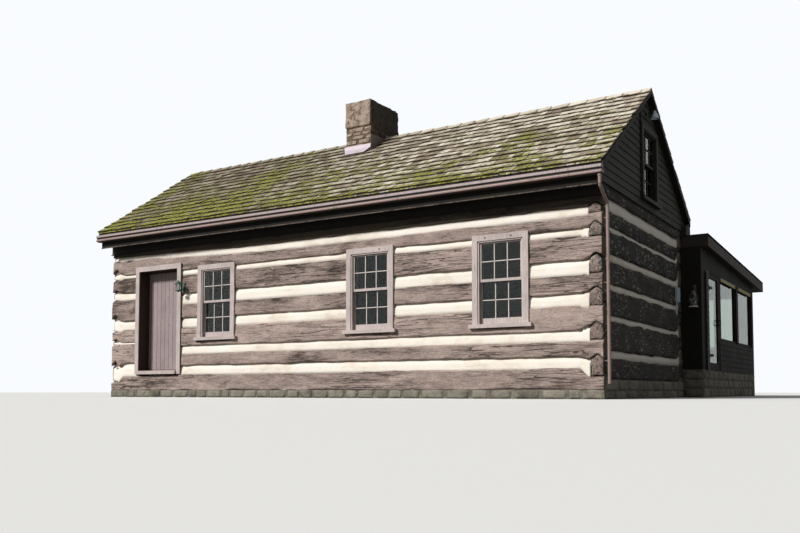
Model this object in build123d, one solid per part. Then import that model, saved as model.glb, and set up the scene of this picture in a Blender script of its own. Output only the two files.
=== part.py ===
from build123d import *

import math
import os

# All sizes are millimetres. The origin is the centre of the chimney's base at
# ground level, +X runs along the front wall towards the right gable, +Y runs
# from the front of the house to the back, and +Z is up.

# Log walls
house_length = 10200
house_depth = 4500
chimney_to_right_wall = 5328
chimney_to_front_wall = 2184
log_thickness = 200
notch_peak = 75
notch_run_out = 150
foundation_height = 140
foundation_width = 300
foundation_ledge = 20
chink_setback = 25

# Height of each log at the corner, in stacking order: front and back logs
# alternate with the gable logs, and the first one lies on the foundation
corner_heights = [165, 270, 235, 232, 254, 234, 233, 233, 292, 164, 163, 118, 192, 205]
# How far each log hangs below its corner seats, and stands above them, between the corners
belly_drops = [0, 20, -25, 118, 72, 106, 30, 106, 21, 186, 22, 131, 0, 28]
belly_rises = [140, 5, 20, 85, 24, 47, 12, 11, 52, -21, 7, -16, 25, 0]

# Floors
floor_top = 512
floor_thickness = 180
loft_floor_thickness = 165

# Roof
wall_top_to_roof = 265
roof_slope = 0.70
roof_thickness = 115
eave_overhang = 295
gable_overhang = 117
fascia_reach = 265
fascia_depth = 160
frieze_thickness = 25
frieze_depth = 185
rake_board_depth = 20
rake_board_thickness = 25

# Boarded gables
gable_wall_thickness = 95
siding_thickness = 25
siding_lap = 67

# Gutter and downspout
gutter_width = 115
gutter_depth = 100
gutter_drop = 26
gutter_sheet = 4
gutter_end_reach = 60
downspout_radius = 37
downspout_offset = 50
downspout_set_back = 45
downspout_foot = 190
downspout_bend = 45
elbow_drop = 284
bracket_height = 40

# Chimney
chimney_width = 535
chimney_depth = 945
chimney_rise = 620
flue_width = 230
flue_length = 520
flue_drop = 1262
flashing_height = 150
flashing_sheet = 6

# Front windows, measured from the right corner to each window's middle
window_positions = [7342, 3919, 1573]
casing_width = 920
casing_board = 90
casing_thickness = 25
jamb_thickness = 25
window_sill_bottom = 1063
sill_thickness = 57
sill_ear = 53
sill_projection = 60
window_height = 1356
sash_set_back = 20
sash_thickness = 35
sash_clearance = 1
stile_width = 50
top_rail = 45
meeting_rail = 42
bottom_rail = 95
meeting_rail_share = 0.49
glass_thickness = 4

# Gable windows
gable_sill_rise = 50
gable_window_drop = 648
gable_window_offset = 115

# Front door
door_position = 8870
door_opening_width = 1050
door_head_drop = 292
door_casing_width = 98
door_jamb_thickness = 40
door_lining_depth = 280
door_stop_depth = 36
door_stop_reach = 20
door_thickness = 45
door_gap = 6
door_foot_gap = 10
threshold_projection = 60

# Pintle hinges
pin_radius = 6
pin_clearance = 0.3
knuckle_radius = 11
knuckle_height = 45
pin_stand_off = 14
hinge_arm_height = 20
hinge_plate_width = 45
strap_start = 3
strap_length = 420
strap_thickness = 9
hinge_inset = 260

# Latches on the doors
latch_height = 940
latch_inset = 60
latch_plate_width = 40
latch_plate_length = 200
latch_plate_thickness = 5
latch_grip_reach = 45
latch_grip_radius = 9

# Sunroom behind the house
sunroom_reach = 350
sunroom_width = 4400
sunroom_wall = 100
sunroom_return_length = 500
sunroom_door_opening = 1000
sunroom_post = 190
sunroom_bay = 1650
sunroom_bays = 2
sunroom_rear_bays = 2
sunroom_opening_top = 2365
sunroom_knee_height = 1116
sunroom_roof_front = 3000
sunroom_roof_fall = 0.043
sunroom_roof_depth = 230
sunroom_side_eave = 130
sunroom_rear_eave = 670
sunroom_sash_frame = 55
sunroom_sash_thickness = 40
sunroom_door_frame = 95
sunroom_door_thickness = 40
sunroom_door_rail = 130

# Lamps and boxes on the walls
door_lantern_offset = 685
door_lantern_drop = 483
door_lantern_size = 190
door_lantern_tall = 225
sunroom_lantern_inset = 120
sunroom_lantern_height = 1640
sunroom_lantern_size = 170
sunroom_lantern_tall = 450
lantern_plate = 20
lantern_arm = 60
lantern_body_share = 0.7
bell_lamp_drop = 470
bell_lamp_radius = 64
bell_lamp_tall = 125
bell_lamp_reach = 130
bell_lamp_stem = 12
meter_box_from_back = 490
meter_box_height = 1718
meter_box_width = 190
meter_box_tall = 270
meter_box_deep = 45
junction_box_drop = 150
junction_box_size = 80

# Places worked out from the sizes
wall_right = chimney_to_right_wall
wall_left = wall_right - house_length
wall_front = -chimney_to_front_wall
wall_back = wall_front + house_depth
ridge_line = (wall_front + wall_back) / 2
inner_left = wall_left + log_thickness
inner_right = wall_right - log_thickness
inner_front = wall_front + log_thickness
inner_back = wall_back - log_thickness
siding_face = wall_right + siding_thickness
tie_log_seat = foundation_height + sum(corner_heights[:-1])
wall_top = tie_log_seat + corner_heights[-1]
loft_floor_top = tie_log_seat
door_head_height = loft_floor_top - loft_floor_thickness - door_head_drop
door_lantern_height = door_head_height - door_lantern_drop
ridge_height = wall_top + wall_top_to_roof + roof_slope * house_depth / 2 + roof_thickness
chimney_top = ridge_height + chimney_rise
fascia_top = wall_top + wall_top_to_roof - roof_slope * fascia_reach
soffit_height = fascia_top - fascia_depth
gutter_top = fascia_top - gutter_drop
window_sill_top = window_sill_bottom + sill_thickness
window_head = window_sill_top + window_height
gable_sill_height = wall_top + gable_sill_rise
gable_window_height = ridge_height - gable_window_drop - gable_sill_height - sill_thickness
gable_window_line = ridge_line + gable_window_offset
window_opening_width = casing_width - 2 * casing_board
sunroom_outer = wall_right + sunroom_reach
sunroom_left = sunroom_outer - sunroom_width
sunroom_door_start = wall_back + sunroom_return_length
sunroom_door_end = sunroom_door_start + sunroom_door_opening
sunroom_back = sunroom_door_end + sunroom_post + sunroom_bays * (sunroom_bay + sunroom_post)


def block(x_span, y_span, z_span):
    """A box given by its low and high limit on each axis."""
    sizes = [high - low for low, high in (x_span, y_span, z_span)]
    middle = [(low + high) / 2 for low, high in (x_span, y_span, z_span)]
    return Pos(*middle) * Box(*sizes)


def prism_along_y(points, y_span):
    """A prism whose outline of (x, z) points runs along Y."""
    face = make_face(Polyline(*[(x, y_span[0], z) for x, z in points], close=True))
    return extrude(face, amount=y_span[1] - y_span[0], dir=(0, 1, 0))


def prism_along_x(points, x_span):
    """A prism whose outline of (y, z) points runs along X."""
    face = make_face(Polyline(*[(x_span[0], y, z) for y, z in points], close=True))
    return extrude(face, amount=x_span[1] - x_span[0], dir=(1, 0, 0))


def fuse(parts):
    """One shape from a list of shapes."""
    whole = parts[0]
    for piece in parts[1:]:
        whole = whole + piece
    return whole


def export_node(name, shapes):
    """Write the solids of one named sub-part."""
    solids = []
    for shape in shapes:
        solids.extend(shape.solids())
    export_step(Compound(children=solids), os.path.join("parts", name + ".step"))


def roof_top(y):
    """Height of the roof's upper face over a place between front and back."""
    return ridge_height - roof_slope * abs(y - ridge_line)


def roof_underside(y):
    return roof_top(y) - roof_thickness


# Corner seats of every log, from the foundation up
corner_seats = [foundation_height]
for corner_height in corner_heights:
    corner_seats.append(corner_seats[-1] + corner_height)
eave_courses = list(range(0, len(corner_heights), 2))
gable_courses = list(range(1, len(corner_heights), 2))


def lower_edge(course, start, end):
    """Underside of a log between its two notches."""
    seat = corner_seats[course]
    belly = seat - belly_drops[course]
    return [
        (start + log_thickness, seat),
        (start + log_thickness + notch_run_out, belly),
        (end - log_thickness - notch_run_out, belly),
        (end - log_thickness, seat),
    ]


def upper_edge(course, start, end):
    """Top of a log between its two notches."""
    seat = corner_seats[course + 1]
    crown = seat + belly_rises[course]
    return [
        (start + log_thickness, seat),
        (start + log_thickness + notch_run_out, crown),
        (end - log_thickness - notch_run_out, crown),
        (end - log_thickness, seat),
    ]


def log_outline(course, start, end):
    """Side view of a hewn log with a V notch under each end."""
    seat = corner_seats[course]
    top = corner_seats[course + 1]
    left_notch = [(start, seat)]
    right_notch = [(end, seat)]
    if course > 0:
        left_notch.append((start + log_thickness / 2, seat + notch_peak))
        right_notch.insert(0, (end - log_thickness / 2, seat + notch_peak))
    lower = left_notch + lower_edge(course, start, end) + right_notch
    upper = [(end, top)] + upper_edge(course, start, end)[::-1] + [(start, top)]
    return lower + upper


def eave_log(course, wall_face):
    """A log of the front or back wall, with peaked ends for the gable log above."""
    log = prism_along_y(
        log_outline(course, wall_left, wall_right), (wall_face, wall_face + log_thickness)
    )
    seat = corner_seats[course + 1]
    peak = [
        (wall_face, seat),
        (wall_face + log_thickness, seat),
        (wall_face + log_thickness / 2, seat + notch_peak),
    ]
    for x_span in ((wall_left, inner_left), (inner_right, wall_right)):
        log = log + prism_along_x(peak, x_span)
    return log


def gable_log(course, wall_face):
    """A log of a gable wall, with peaked ends for the front and back logs above."""
    log = prism_along_x(
        log_outline(course, wall_front, wall_back), (wall_face, wall_face + log_thickness)
    )
    if course == gable_courses[-1]:
        return log
    seat = corner_seats[course + 1]
    peak = [
        (wall_face, seat),
        (wall_face + log_thickness, seat),
        (wall_face + log_thickness / 2, seat + notch_peak),
    ]
    for y_span in ((wall_front, inner_front), (inner_back, wall_back)):
        log = log + prism_along_y(peak, y_span)
    return log


def chink_outline(course, start, end):
    """The gap between a log and the next one up on the same wall."""
    return upper_edge(course, start, end) + lower_edge(course + 2, start, end)[::-1]


def chink_span(wall_face):
    return (wall_face + chink_setback, wall_face + log_thickness - chink_setback)


def eave_chinks(wall_face):
    return [
        prism_along_y(chink_outline(course, wall_left, wall_right), chink_span(wall_face))
        for course in eave_courses[:-1]
    ]


def gable_chinks(wall_face):
    return [
        prism_along_x(chink_outline(course, wall_front, wall_back), chink_span(wall_face))
        for course in gable_courses[:-1]
    ]


def along_front(distance):
    """X of a place measured from the right corner along the front wall."""
    return wall_right - distance


# Holes through the front wall and the gables
window_hole_half = window_opening_width / 2 + jamb_thickness
gable_hole_top = (
    gable_sill_height + sill_thickness + gable_window_height - casing_board + jamb_thickness
)
window_hole_top = window_head - casing_board + jamb_thickness
window_holes = []
for position in window_positions:
    middle = along_front(position)
    window_holes.append(
        block(
            (middle - window_hole_half, middle + window_hole_half),
            (wall_front - log_thickness, inner_front + log_thickness),
            (window_sill_bottom, window_hole_top),
        )
    )
door_middle = along_front(door_position)
door_hole_half = door_opening_width / 2 + door_jamb_thickness
sill_log_crown = corner_seats[1] + belly_rises[0]
door_hole = block(
    (door_middle - door_hole_half, door_middle + door_hole_half),
    (wall_front - log_thickness, inner_front + log_thickness),
    (sill_log_crown, door_head_height + door_jamb_thickness),
)
front_holes = window_holes + [door_hole]


def cut_front(shape):
    """The shape's pieces between the holes, from left to right."""
    for hole in front_holes:
        shape = shape - hole
    return shape.solids().sort_by(Axis.X)


def front_wall():
    courses = [eave_log(course, wall_front) for course in eave_courses]
    left_of_door = []
    low_logs = []
    between_openings = []
    for course, log in zip(eave_courses[1:-2], courses[1:-2]):
        pieces = cut_front(log)
        left_of_door.append(pieces[0])
        runs_under_windows = corner_seats[course] < window_sill_bottom
        if runs_under_windows:
            low_logs.extend(pieces[1:])
        else:
            between_openings.extend(pieces[1:])
    export_node("front_sill_log", cut_front(courses[0]))
    export_node("front_logs_left_of_door", left_of_door)
    export_node("front_low_logs", low_logs)
    export_node("front_logs_between_windows", between_openings)
    export_node("front_head_log", cut_front(courses[-2]))
    export_node("front_plate_log", [courses[-1]])
    chinks = []
    for chink in eave_chinks(wall_front):
        chinks.extend(cut_front(chink))
    export_node("front_chinking", chinks)


def back_wall():
    back_face = wall_back - log_thickness
    logs = [eave_log(course, back_face) for course in eave_courses]
    export_node("back_wall_logs", logs)
    export_node("back_chinking", eave_chinks(back_face))


def gable_walls():
    right_face = wall_right - log_thickness
    export_node("right_wall_logs", [gable_log(course, right_face) for course in gable_courses])
    export_node("left_wall_logs", [gable_log(course, wall_left) for course in gable_courses])
    export_node("gable_chinking", gable_chinks(right_face) + gable_chinks(wall_left))


def foundation():
    """Stone footing: low under the front and back sill logs, higher under the gable logs."""
    outer_x = (wall_left - foundation_ledge, wall_right + foundation_ledge)
    front_y = (wall_front - foundation_ledge, wall_front - foundation_ledge + foundation_width)
    back_y = (wall_back + foundation_ledge - foundation_width, wall_back + foundation_ledge)
    gable_seat = corner_seats[1] - belly_drops[1]
    runs = [
        block(outer_x, front_y, (0, foundation_height)),
        block(outer_x, back_y, (0, foundation_height)),
    ]
    for face, turn in ((outer_x[0], 1), (outer_x[1], -1)):
        near, far = sorted((face, face + turn * foundation_width))
        runs.append(block((near, far), (front_y[0], back_y[1]), (0, foundation_height)))
        span = (inner_front + notch_run_out, inner_back - notch_run_out)
        runs.append(block((near, far), span, (0, gable_seat)))
    export_node("foundation", [fuse(runs)])


def chimney_footprint(z_span, margin=0):
    half_width = chimney_width / 2 + margin
    half_depth = chimney_depth / 2 + margin
    return block((-half_width, half_width), (-half_depth, half_depth), z_span)


def floors():
    inside = ((inner_left, inner_right), (inner_front, inner_back))
    for name, top, thickness in (
        ("ground_floor", floor_top, floor_thickness),
        ("loft_floor", loft_floor_top, loft_floor_thickness),
    ):
        slab = block(*inside, (top - thickness, top))
        export_node(name, [slab - chimney_footprint((0, chimney_top))])


def chimney():
    stack = chimney_footprint((0, chimney_top))
    flue = block(
        (-flue_width / 2, flue_width / 2),
        (-flue_length / 2, flue_length / 2),
        (chimney_top - flue_drop, chimney_top + flue_drop),
    )
    export_node("chimney_stack", [stack - flue])
    collar = chimney_footprint((0, chimney_top), flashing_sheet)
    reach = chimney_depth + abs(ridge_line)
    band = [
        (ridge_line - reach, roof_top(ridge_line - reach)),
        (ridge_line, ridge_height),
        (ridge_line + reach, roof_top(ridge_line + reach)),
        (ridge_line + reach, roof_top(ridge_line + reach) + flashing_height),
        (ridge_line, ridge_height + flashing_height),
        (ridge_line - reach, roof_top(ridge_line - reach) + flashing_height),
    ]
    sheet = prism_along_x(band, (-chimney_width, chimney_width))
    export_node("chimney_flashing", [(collar & sheet) - stack])


def roof():
    ends = (wall_left - gable_overhang, wall_right + gable_overhang)
    stack = chimney_footprint((0, chimney_top))
    for name, wall, turn in (("front_roof", wall_front, -1), ("back_roof", wall_back, 1)):
        eave = wall + turn * eave_overhang
        outline = [
            (eave, roof_underside(eave)),
            (eave, roof_top(eave)),
            (ridge_line, ridge_height),
            (ridge_line, ridge_height - roof_thickness),
        ]
        export_node(name, [prism_along_x(outline, ends) - stack])


def rake_boards():
    for name, wall, turn in (
        ("front_rake_boards", wall_front, -1),
        ("back_rake_boards", wall_back, 1),
    ):
        foot = wall + turn * fascia_reach
        outline = [
            (foot, roof_underside(foot) - rake_board_depth),
            (foot, roof_underside(foot)),
            (ridge_line, roof_underside(ridge_line)),
            (ridge_line, roof_underside(ridge_line) - rake_board_depth),
        ]
        left_face = wall_left - siding_thickness
        spans = (
            (siding_face, siding_face + rake_board_thickness),
            (left_face - rake_board_thickness, left_face),
        )
        export_node(name, [prism_along_x(outline, span) for span in spans])


def eaves():
    boxes = []
    for wall, turn in ((wall_front, -1), (wall_back, 1)):
        frieze = wall + turn * frieze_thickness
        fascia = wall + turn * fascia_reach
        outline = [
            (wall, soffit_height),
            (wall, roof_underside(wall)),
            (fascia, fascia_top),
            (fascia, soffit_height),
        ]
        box = prism_along_x(outline, (wall_left - siding_thickness, siding_face))
        board_span = (soffit_height - frieze_depth, soffit_height)
        board = block((wall_left, wall_right), sorted((wall, frieze)), board_span)
        boxes.append(box + board)
    export_node("eave_boxes", boxes)


def gable_panel(face, turn):
    """Boarded wall over the tie log, with a hole for its window."""
    slopes = [
        (wall_back, roof_underside(wall_back)),
        (ridge_line, roof_underside(ridge_line)),
        (wall_front, roof_underside(wall_front)),
    ]
    inner = sorted((face, face - turn * gable_wall_thickness))
    outer = sorted((face, face + turn * siding_thickness))
    backing_foot = [(wall_front, wall_top), (wall_back, wall_top)]
    backing = prism_along_x(backing_foot + slopes, inner)
    siding_foot = [(wall_front, wall_top - siding_lap), (wall_back, wall_top - siding_lap)]
    siding = prism_along_x(siding_foot + slopes, outer)
    hole = block(
        (min(inner + outer) - gable_wall_thickness, max(inner + outer) + gable_wall_thickness),
        (gable_window_line - window_hole_half, gable_window_line + window_hole_half),
        (gable_sill_height, gable_hole_top),
    )
    return backing + siding - hole


def gables():
    export_node("right_gable_boards", [gable_panel(wall_right, 1)])
    export_node("left_gable_boards", [gable_panel(wall_left, -1)])


def gutter():
    """Open trough with closed ends, hung on the front fascia."""
    back = wall_front - fascia_reach
    ends = (wall_left - gutter_end_reach, wall_right + gutter_end_reach)
    shell = block(ends, (back - gutter_width, back), (gutter_top - gutter_depth, gutter_top))
    hollow = block(
        (ends[0] + gutter_sheet, ends[1] - gutter_sheet),
        (back - gutter_width + gutter_sheet, back - gutter_sheet),
        (gutter_top - gutter_depth + gutter_sheet, gutter_top + gutter_depth),
    )
    export_node("front_gutter", [shell - hollow])


def downspout():
    """Round pipe from the gutter's right end, round the corner and down the gable wall."""
    gutter_middle = wall_front - fascia_reach - gutter_width / 2
    outlet = Vector(wall_right, gutter_middle, gutter_top - gutter_depth)
    bend = Vector(wall_right, gutter_middle, outlet.Z - 2 * downspout_radius)
    pipe_x = wall_right + downspout_offset
    pipe_y = wall_front + downspout_set_back
    elbow = Vector(pipe_x, pipe_y, outlet.Z - elbow_drop)
    foot = Vector(pipe_x, pipe_y, downspout_foot)
    route = FilletPolyline(outlet, bend, elbow, foot, radius=downspout_bend)
    section = Plane(outlet, z_dir=(0, 0, -1)) * Circle(downspout_radius)
    pieces = [sweep(section, path=route)]
    for height in (corner_seats[2], corner_seats[6], corner_seats[10]):
        pieces.append(
            block(
                (wall_right, pipe_x),
                (pipe_y - downspout_radius, pipe_y + downspout_radius),
                (height - 2 * bracket_height, height - bracket_height),
            )
        )
    export_node("downspout", [fuse(pieces)])


def window_parts(sill_bottom, height, wall_depth):
    """Frame, sashes and panes of one window, facing -Y with its wall's face at y = 0."""
    sill_top = sill_bottom + sill_thickness
    head = sill_top + height
    half = window_opening_width / 2
    inner_head = head - casing_board
    opening = block((-half, half), (-wall_depth, 2 * wall_depth), (sill_top, inner_head))
    casing = block(
        (-casing_width / 2, casing_width / 2), (-casing_thickness, 0), (sill_top, head)
    )
    lining = block(
        (-window_hole_half, window_hole_half),
        (0, wall_depth),
        (sill_bottom, inner_head + jamb_thickness),
    )
    sill_half = casing_width / 2 + sill_ear
    sill_nose = block((-sill_half, sill_half), (-sill_projection, 0), (sill_bottom, sill_top))
    frame = (casing + lining + sill_nose) - opening
    meeting = sill_top + meeting_rail_share * height
    sash_face = sash_set_back
    sashes = []
    panes = []
    for low, high, low_rail, high_rail in (
        (meeting - meeting_rail / 2, inner_head, meeting_rail, top_rail),
        (sill_top, meeting + meeting_rail / 2, bottom_rail, meeting_rail),
    ):
        depth = (sash_face, sash_face + sash_thickness)
        light = block(
            (-half + stile_width, half - stile_width), depth, (low + low_rail, high - high_rail)
        )
        sashes.append(block((-half, half), depth, (low, high)) - light)
        glass_face = sash_face + (sash_thickness - glass_thickness) / 2
        glass_depth = (glass_face, glass_face + glass_thickness)
        panes.append(light & block((-half, half), glass_depth, (low, high)))
        sash_face += sash_thickness + sash_clearance
    return frame, sashes, panes


def windows():
    frames = []
    sashes = []
    panes = []
    places = []
    for position in window_positions:
        place = Pos(along_front(position), wall_front, 0)
        places.append((place, window_sill_bottom, window_height, log_thickness))
    wall_depth = gable_wall_thickness + siding_thickness
    for face, turn in ((siding_face, 90), (wall_left - siding_thickness, -90)):
        place = Pos(face, gable_window_line, 0) * Rot(0, 0, turn)
        places.append((place, gable_sill_height, gable_window_height, wall_depth))
    for place, sill_bottom, height, depth in places:
        frame, pair, glass = window_parts(sill_bottom, height, depth)
        frames.append(place * frame)
        sashes.extend(place * sash for sash in pair)
        panes.extend(place * pane for pane in glass)
    export_node("window_frames", frames)
    export_node("window_sashes", sashes)
    export_node("window_glass", panes)


def pintle(height):
    """Frame side of a hinge: plate, arm and upright pin, with the pin's axis at x = y = 0."""
    plate = block(
        (-hinge_plate_width - pin_stand_off, -pin_stand_off),
        (-pin_stand_off, 0),
        (height - hinge_arm_height, height + knuckle_height),
    )
    arm = block(
        (-hinge_plate_width - pin_stand_off, knuckle_radius),
        (-pin_stand_off, knuckle_radius),
        (height - hinge_arm_height, height - pin_clearance),
    )
    pin_base = height - hinge_arm_height
    pin_length = hinge_arm_height + knuckle_height
    pin = Pos(0, 0, pin_base + pin_length / 2) * Cylinder(pin_radius, pin_length)
    return plate + arm + pin


def strap(height, leaf_offset):
    """Leaf side of a hinge: strap along +X and a knuckle round the pin."""
    band = block(
        (strap_start, strap_length),
        (-leaf_offset, strap_thickness - leaf_offset),
        (height, height + knuckle_height),
    )
    knuckle = Pos(0, 0, height + knuckle_height / 2) * Cylinder(knuckle_radius, knuckle_height)
    hole = Pos(0, 0, height + knuckle_height / 2) * Cylinder(
        pin_radius + pin_clearance, 2 * knuckle_height
    )
    return band + knuckle - hole


def latch(width, face, turn):
    """Plate and upright grip near the free edge of a door, standing out of its face."""
    middle = width - door_gap - latch_inset
    low = floor_top + latch_height - latch_plate_length / 2
    high = low + latch_plate_length
    plate = block(
        (middle - latch_plate_width / 2, middle + latch_plate_width / 2),
        sorted((face, face + turn * latch_plate_thickness)),
        (low, high),
    )
    grip_y = face + turn * latch_grip_reach
    quarter = latch_plate_length / 4
    grip = Pos(middle, grip_y, (low + high) / 2) * Cylinder(latch_grip_radius, 2 * quarter)
    posts = [
        block(
            (middle - latch_grip_radius, middle + latch_grip_radius),
            sorted((face, grip_y)),
            (end - latch_grip_radius, end + latch_grip_radius),
        )
        for end in (low + quarter, high - quarter)
    ]
    return plate + grip + posts[0] + posts[1]


def door_set(width, low, high, thickness, rebate):
    """Hinge heights, frame-side hinges and leaf-side straps of a door that opens to +Y."""
    heights = (low + hinge_inset, high - hinge_inset - knuckle_height)
    leaf_offset = pin_stand_off + rebate
    pintles = [pintle(height) for height in heights]
    straps = [strap(height, leaf_offset) for height in heights]
    leaf = block(
        (door_gap, width - door_gap),
        (-leaf_offset - thickness, -leaf_offset),
        (low + door_foot_gap, high - door_gap),
    )
    return pintles, straps, leaf


def front_door():
    half = door_opening_width / 2
    lining_back = wall_front + door_lining_depth
    left = door_middle - half
    right = door_middle + half
    outer_left = left - door_jamb_thickness
    outer_right = right + door_jamb_thickness
    lining = block(
        (outer_left, outer_right),
        (wall_front, lining_back),
        (floor_top, door_head_height + door_jamb_thickness),
    )
    casing = block(
        (left - door_casing_width, right + door_casing_width),
        (wall_front - casing_thickness, wall_front),
        (sill_log_crown, door_head_height + door_casing_width),
    )
    threshold = block(
        (outer_left, outer_right), (wall_front, inner_front), (sill_log_crown, floor_top)
    )
    nose = block(
        (left, right),
        (wall_front - threshold_projection, wall_front),
        (sill_log_crown, floor_top),
    )
    clear = block(
        (left, right),
        (wall_front - log_thickness, lining_back + log_thickness),
        (floor_top, door_head_height),
    )
    door_back = lining_back - door_gap / 2
    stop_back = door_back - door_thickness - door_gap
    stop_span = (stop_back - door_stop_depth, stop_back)
    stops = block((left, right), stop_span, (floor_top, door_head_height))
    stop_clear = block(
        (left + door_stop_reach, right - door_stop_reach),
        stop_span,
        (floor_top, door_head_height - door_stop_reach),
    )
    pintles, straps, leaf = door_set(
        door_opening_width, floor_top, door_head_height, door_thickness, door_gap / 2
    )
    place = Pos(left, lining_back + pin_stand_off, 0)
    frame = (lining + casing + threshold + nose) - clear + (stops - stop_clear)
    export_node("front_door_frame", [frame + place * fuse(pintles)])
    leaf_front = -pin_stand_off - door_gap / 2 - door_thickness
    handle = latch(door_opening_width, leaf_front, -1)
    export_node("front_door", [place * (leaf + fuse(straps) + handle)])


def sunroom_roof_top(y):
    return sunroom_roof_front - sunroom_roof_fall * (y - wall_back)


def sunroom_ceiling(y):
    return sunroom_roof_top(y) - sunroom_roof_depth


def side_lights():
    """Lights between the posts of a side wall, from the door to the rear corner."""
    lights = []
    for bay in range(sunroom_bays):
        light_start = sunroom_door_end + sunroom_post + bay * (sunroom_bay + sunroom_post)
        lights.append((light_start, light_start + sunroom_bay))
    return lights


def rear_lights():
    """Lights of the rear wall, spread evenly over its width."""
    inner_width = sunroom_width - 2 * sunroom_wall
    bay = (inner_width - (sunroom_rear_bays + 1) * sunroom_post) / sunroom_rear_bays
    starts = [
        sunroom_left + sunroom_wall + sunroom_post + index * (bay + sunroom_post)
        for index in range(sunroom_rear_bays)
    ]
    return [(start, start + bay) for start in starts]


def sunroom_walls():
    opening = (sunroom_knee_height, sunroom_opening_top)
    side_face = (sunroom_outer - sunroom_wall, sunroom_outer)
    left_face = (sunroom_left, sunroom_left + sunroom_wall)
    rear_face = (sunroom_back - sunroom_wall, sunroom_back)

    return_wall = block(
        (inner_right, sunroom_outer),
        (wall_back, wall_back + sunroom_wall),
        (floor_top, sunroom_ceiling(wall_back + sunroom_wall)),
    )
    return_side = block(
        side_face, (wall_back, sunroom_door_start), (floor_top, sunroom_opening_top)
    )
    pintles, _, _ = sunroom_door_set()
    export_node("sunroom_return_wall", [return_wall + return_side + pintles])

    header = prism_along_x(
        [
            (wall_back + sunroom_wall, sunroom_opening_top),
            (sunroom_back, sunroom_opening_top),
            (sunroom_back, sunroom_ceiling(sunroom_back)),
            (wall_back + sunroom_wall, sunroom_ceiling(wall_back + sunroom_wall)),
        ],
        side_face,
    )
    export_node("sunroom_header", [header])

    side = block(side_face, (sunroom_door_end, sunroom_back), (floor_top, sunroom_opening_top))
    for light in side_lights():
        side = side - block(side_face, light, opening)
    export_node("sunroom_side_frame", [side])

    rear_top = sunroom_ceiling(sunroom_back)
    rear = block((sunroom_left, side_face[0]), rear_face, (floor_top, rear_top))
    for light in rear_lights():
        rear = rear - block(light, rear_face, opening)
    export_node("sunroom_rear_frame", [rear])

    left = prism_along_x(
        [
            (wall_back, floor_top),
            (rear_face[0], floor_top),
            (rear_face[0], sunroom_ceiling(rear_face[0])),
            (wall_back + sunroom_wall, sunroom_ceiling(wall_back + sunroom_wall)),
            (wall_back, sunroom_ceiling(wall_back + sunroom_wall)),
        ],
        left_face,
    )
    for light in side_lights():
        left = left - block(left_face, light, opening)
    export_node("sunroom_left_frame", [left])


def sash_in_opening(length, low, high, frame):
    """A glazed sash and its pane, standing on X from 0 to length, centred on y = 0."""
    depth = (-sunroom_sash_thickness / 2, sunroom_sash_thickness / 2)
    light = block((frame, length - frame), depth, (low + frame, high - frame))
    sash = block((0, length), depth, (low, high)) - light
    pane = light & block((0, length), (-glass_thickness / 2, glass_thickness / 2), (low, high))
    return sash, pane


def sunroom_windows():
    sashes = []
    panes = []
    low, high = sunroom_knee_height, sunroom_opening_top
    half_wall = sunroom_wall / 2
    for start, end in side_lights():
        for middle in (sunroom_outer - half_wall, sunroom_left + half_wall):
            place = Pos(middle, start, 0) * Rot(0, 0, 90)
            sash, pane = sash_in_opening(end - start, low, high, sunroom_sash_frame)
            sashes.append(place * sash)
            panes.append(place * pane)
    for start, end in rear_lights():
        place = Pos(start, sunroom_back - half_wall, 0)
        sash, pane = sash_in_opening(end - start, low, high, sunroom_sash_frame)
        sashes.append(place * sash)
        panes.append(place * pane)
    export_node("sunroom_sashes", sashes)
    export_node("sunroom_glass", panes)


def sunroom_door_set():
    """Pintles, leaf and pane of the glazed door, hinged at its front edge, opening outwards."""
    pintles, straps, leaf = door_set(
        sunroom_door_opening, floor_top, sunroom_opening_top, sunroom_door_thickness, door_gap / 2
    )
    leaf_low = -pin_stand_off - door_gap / 2 - sunroom_door_thickness
    depth = (leaf_low, leaf_low + sunroom_door_thickness)
    edge = door_gap + sunroom_door_frame
    light = block(
        (edge, sunroom_door_opening - edge),
        depth,
        (floor_top + door_foot_gap + sunroom_door_rail, sunroom_opening_top - edge),
    )
    middle = (depth[0] + depth[1]) / 2
    sheet = block(
        (0, sunroom_door_opening),
        (middle - glass_thickness / 2, middle + glass_thickness / 2),
        (floor_top, sunroom_opening_top),
    )
    place = Pos(sunroom_outer + pin_stand_off, sunroom_door_start, 0)
    swap_axes = Plane(origin=(0, 0, 0), z_dir=(1, -1, 0))
    handle = latch(sunroom_door_opening, depth[1], 1)
    hinged = place * fuse(pintles).mirror(swap_axes)
    door = place * (leaf - light + fuse(straps) + handle).mirror(swap_axes)
    pane = place * (light & sheet).mirror(swap_axes)
    return hinged, door, pane


def sunroom_door():
    _, door, pane = sunroom_door_set()
    export_node("sunroom_door", [door])
    export_node("sunroom_door_glass", [pane])


def sunroom_base_and_roof():
    outline_x = (sunroom_left, sunroom_outer)
    outline_y = (wall_back + foundation_ledge, sunroom_back)
    base = block(outline_x, outline_y, (0, floor_top))
    lip = block(outline_x, (wall_back, outline_y[0]), (foundation_height, floor_top))
    export_node("sunroom_floor", [base + lip])
    start = wall_back + frieze_thickness
    end = sunroom_back + sunroom_rear_eave
    outline = [
        (start, sunroom_ceiling(start)),
        (end, sunroom_ceiling(end)),
        (end, sunroom_roof_top(end)),
        (start, sunroom_roof_top(start)),
    ]
    span = (sunroom_left - sunroom_side_eave, sunroom_outer + sunroom_side_eave)
    export_node("sunroom_roof", [prism_along_x(outline, span)])


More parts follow.
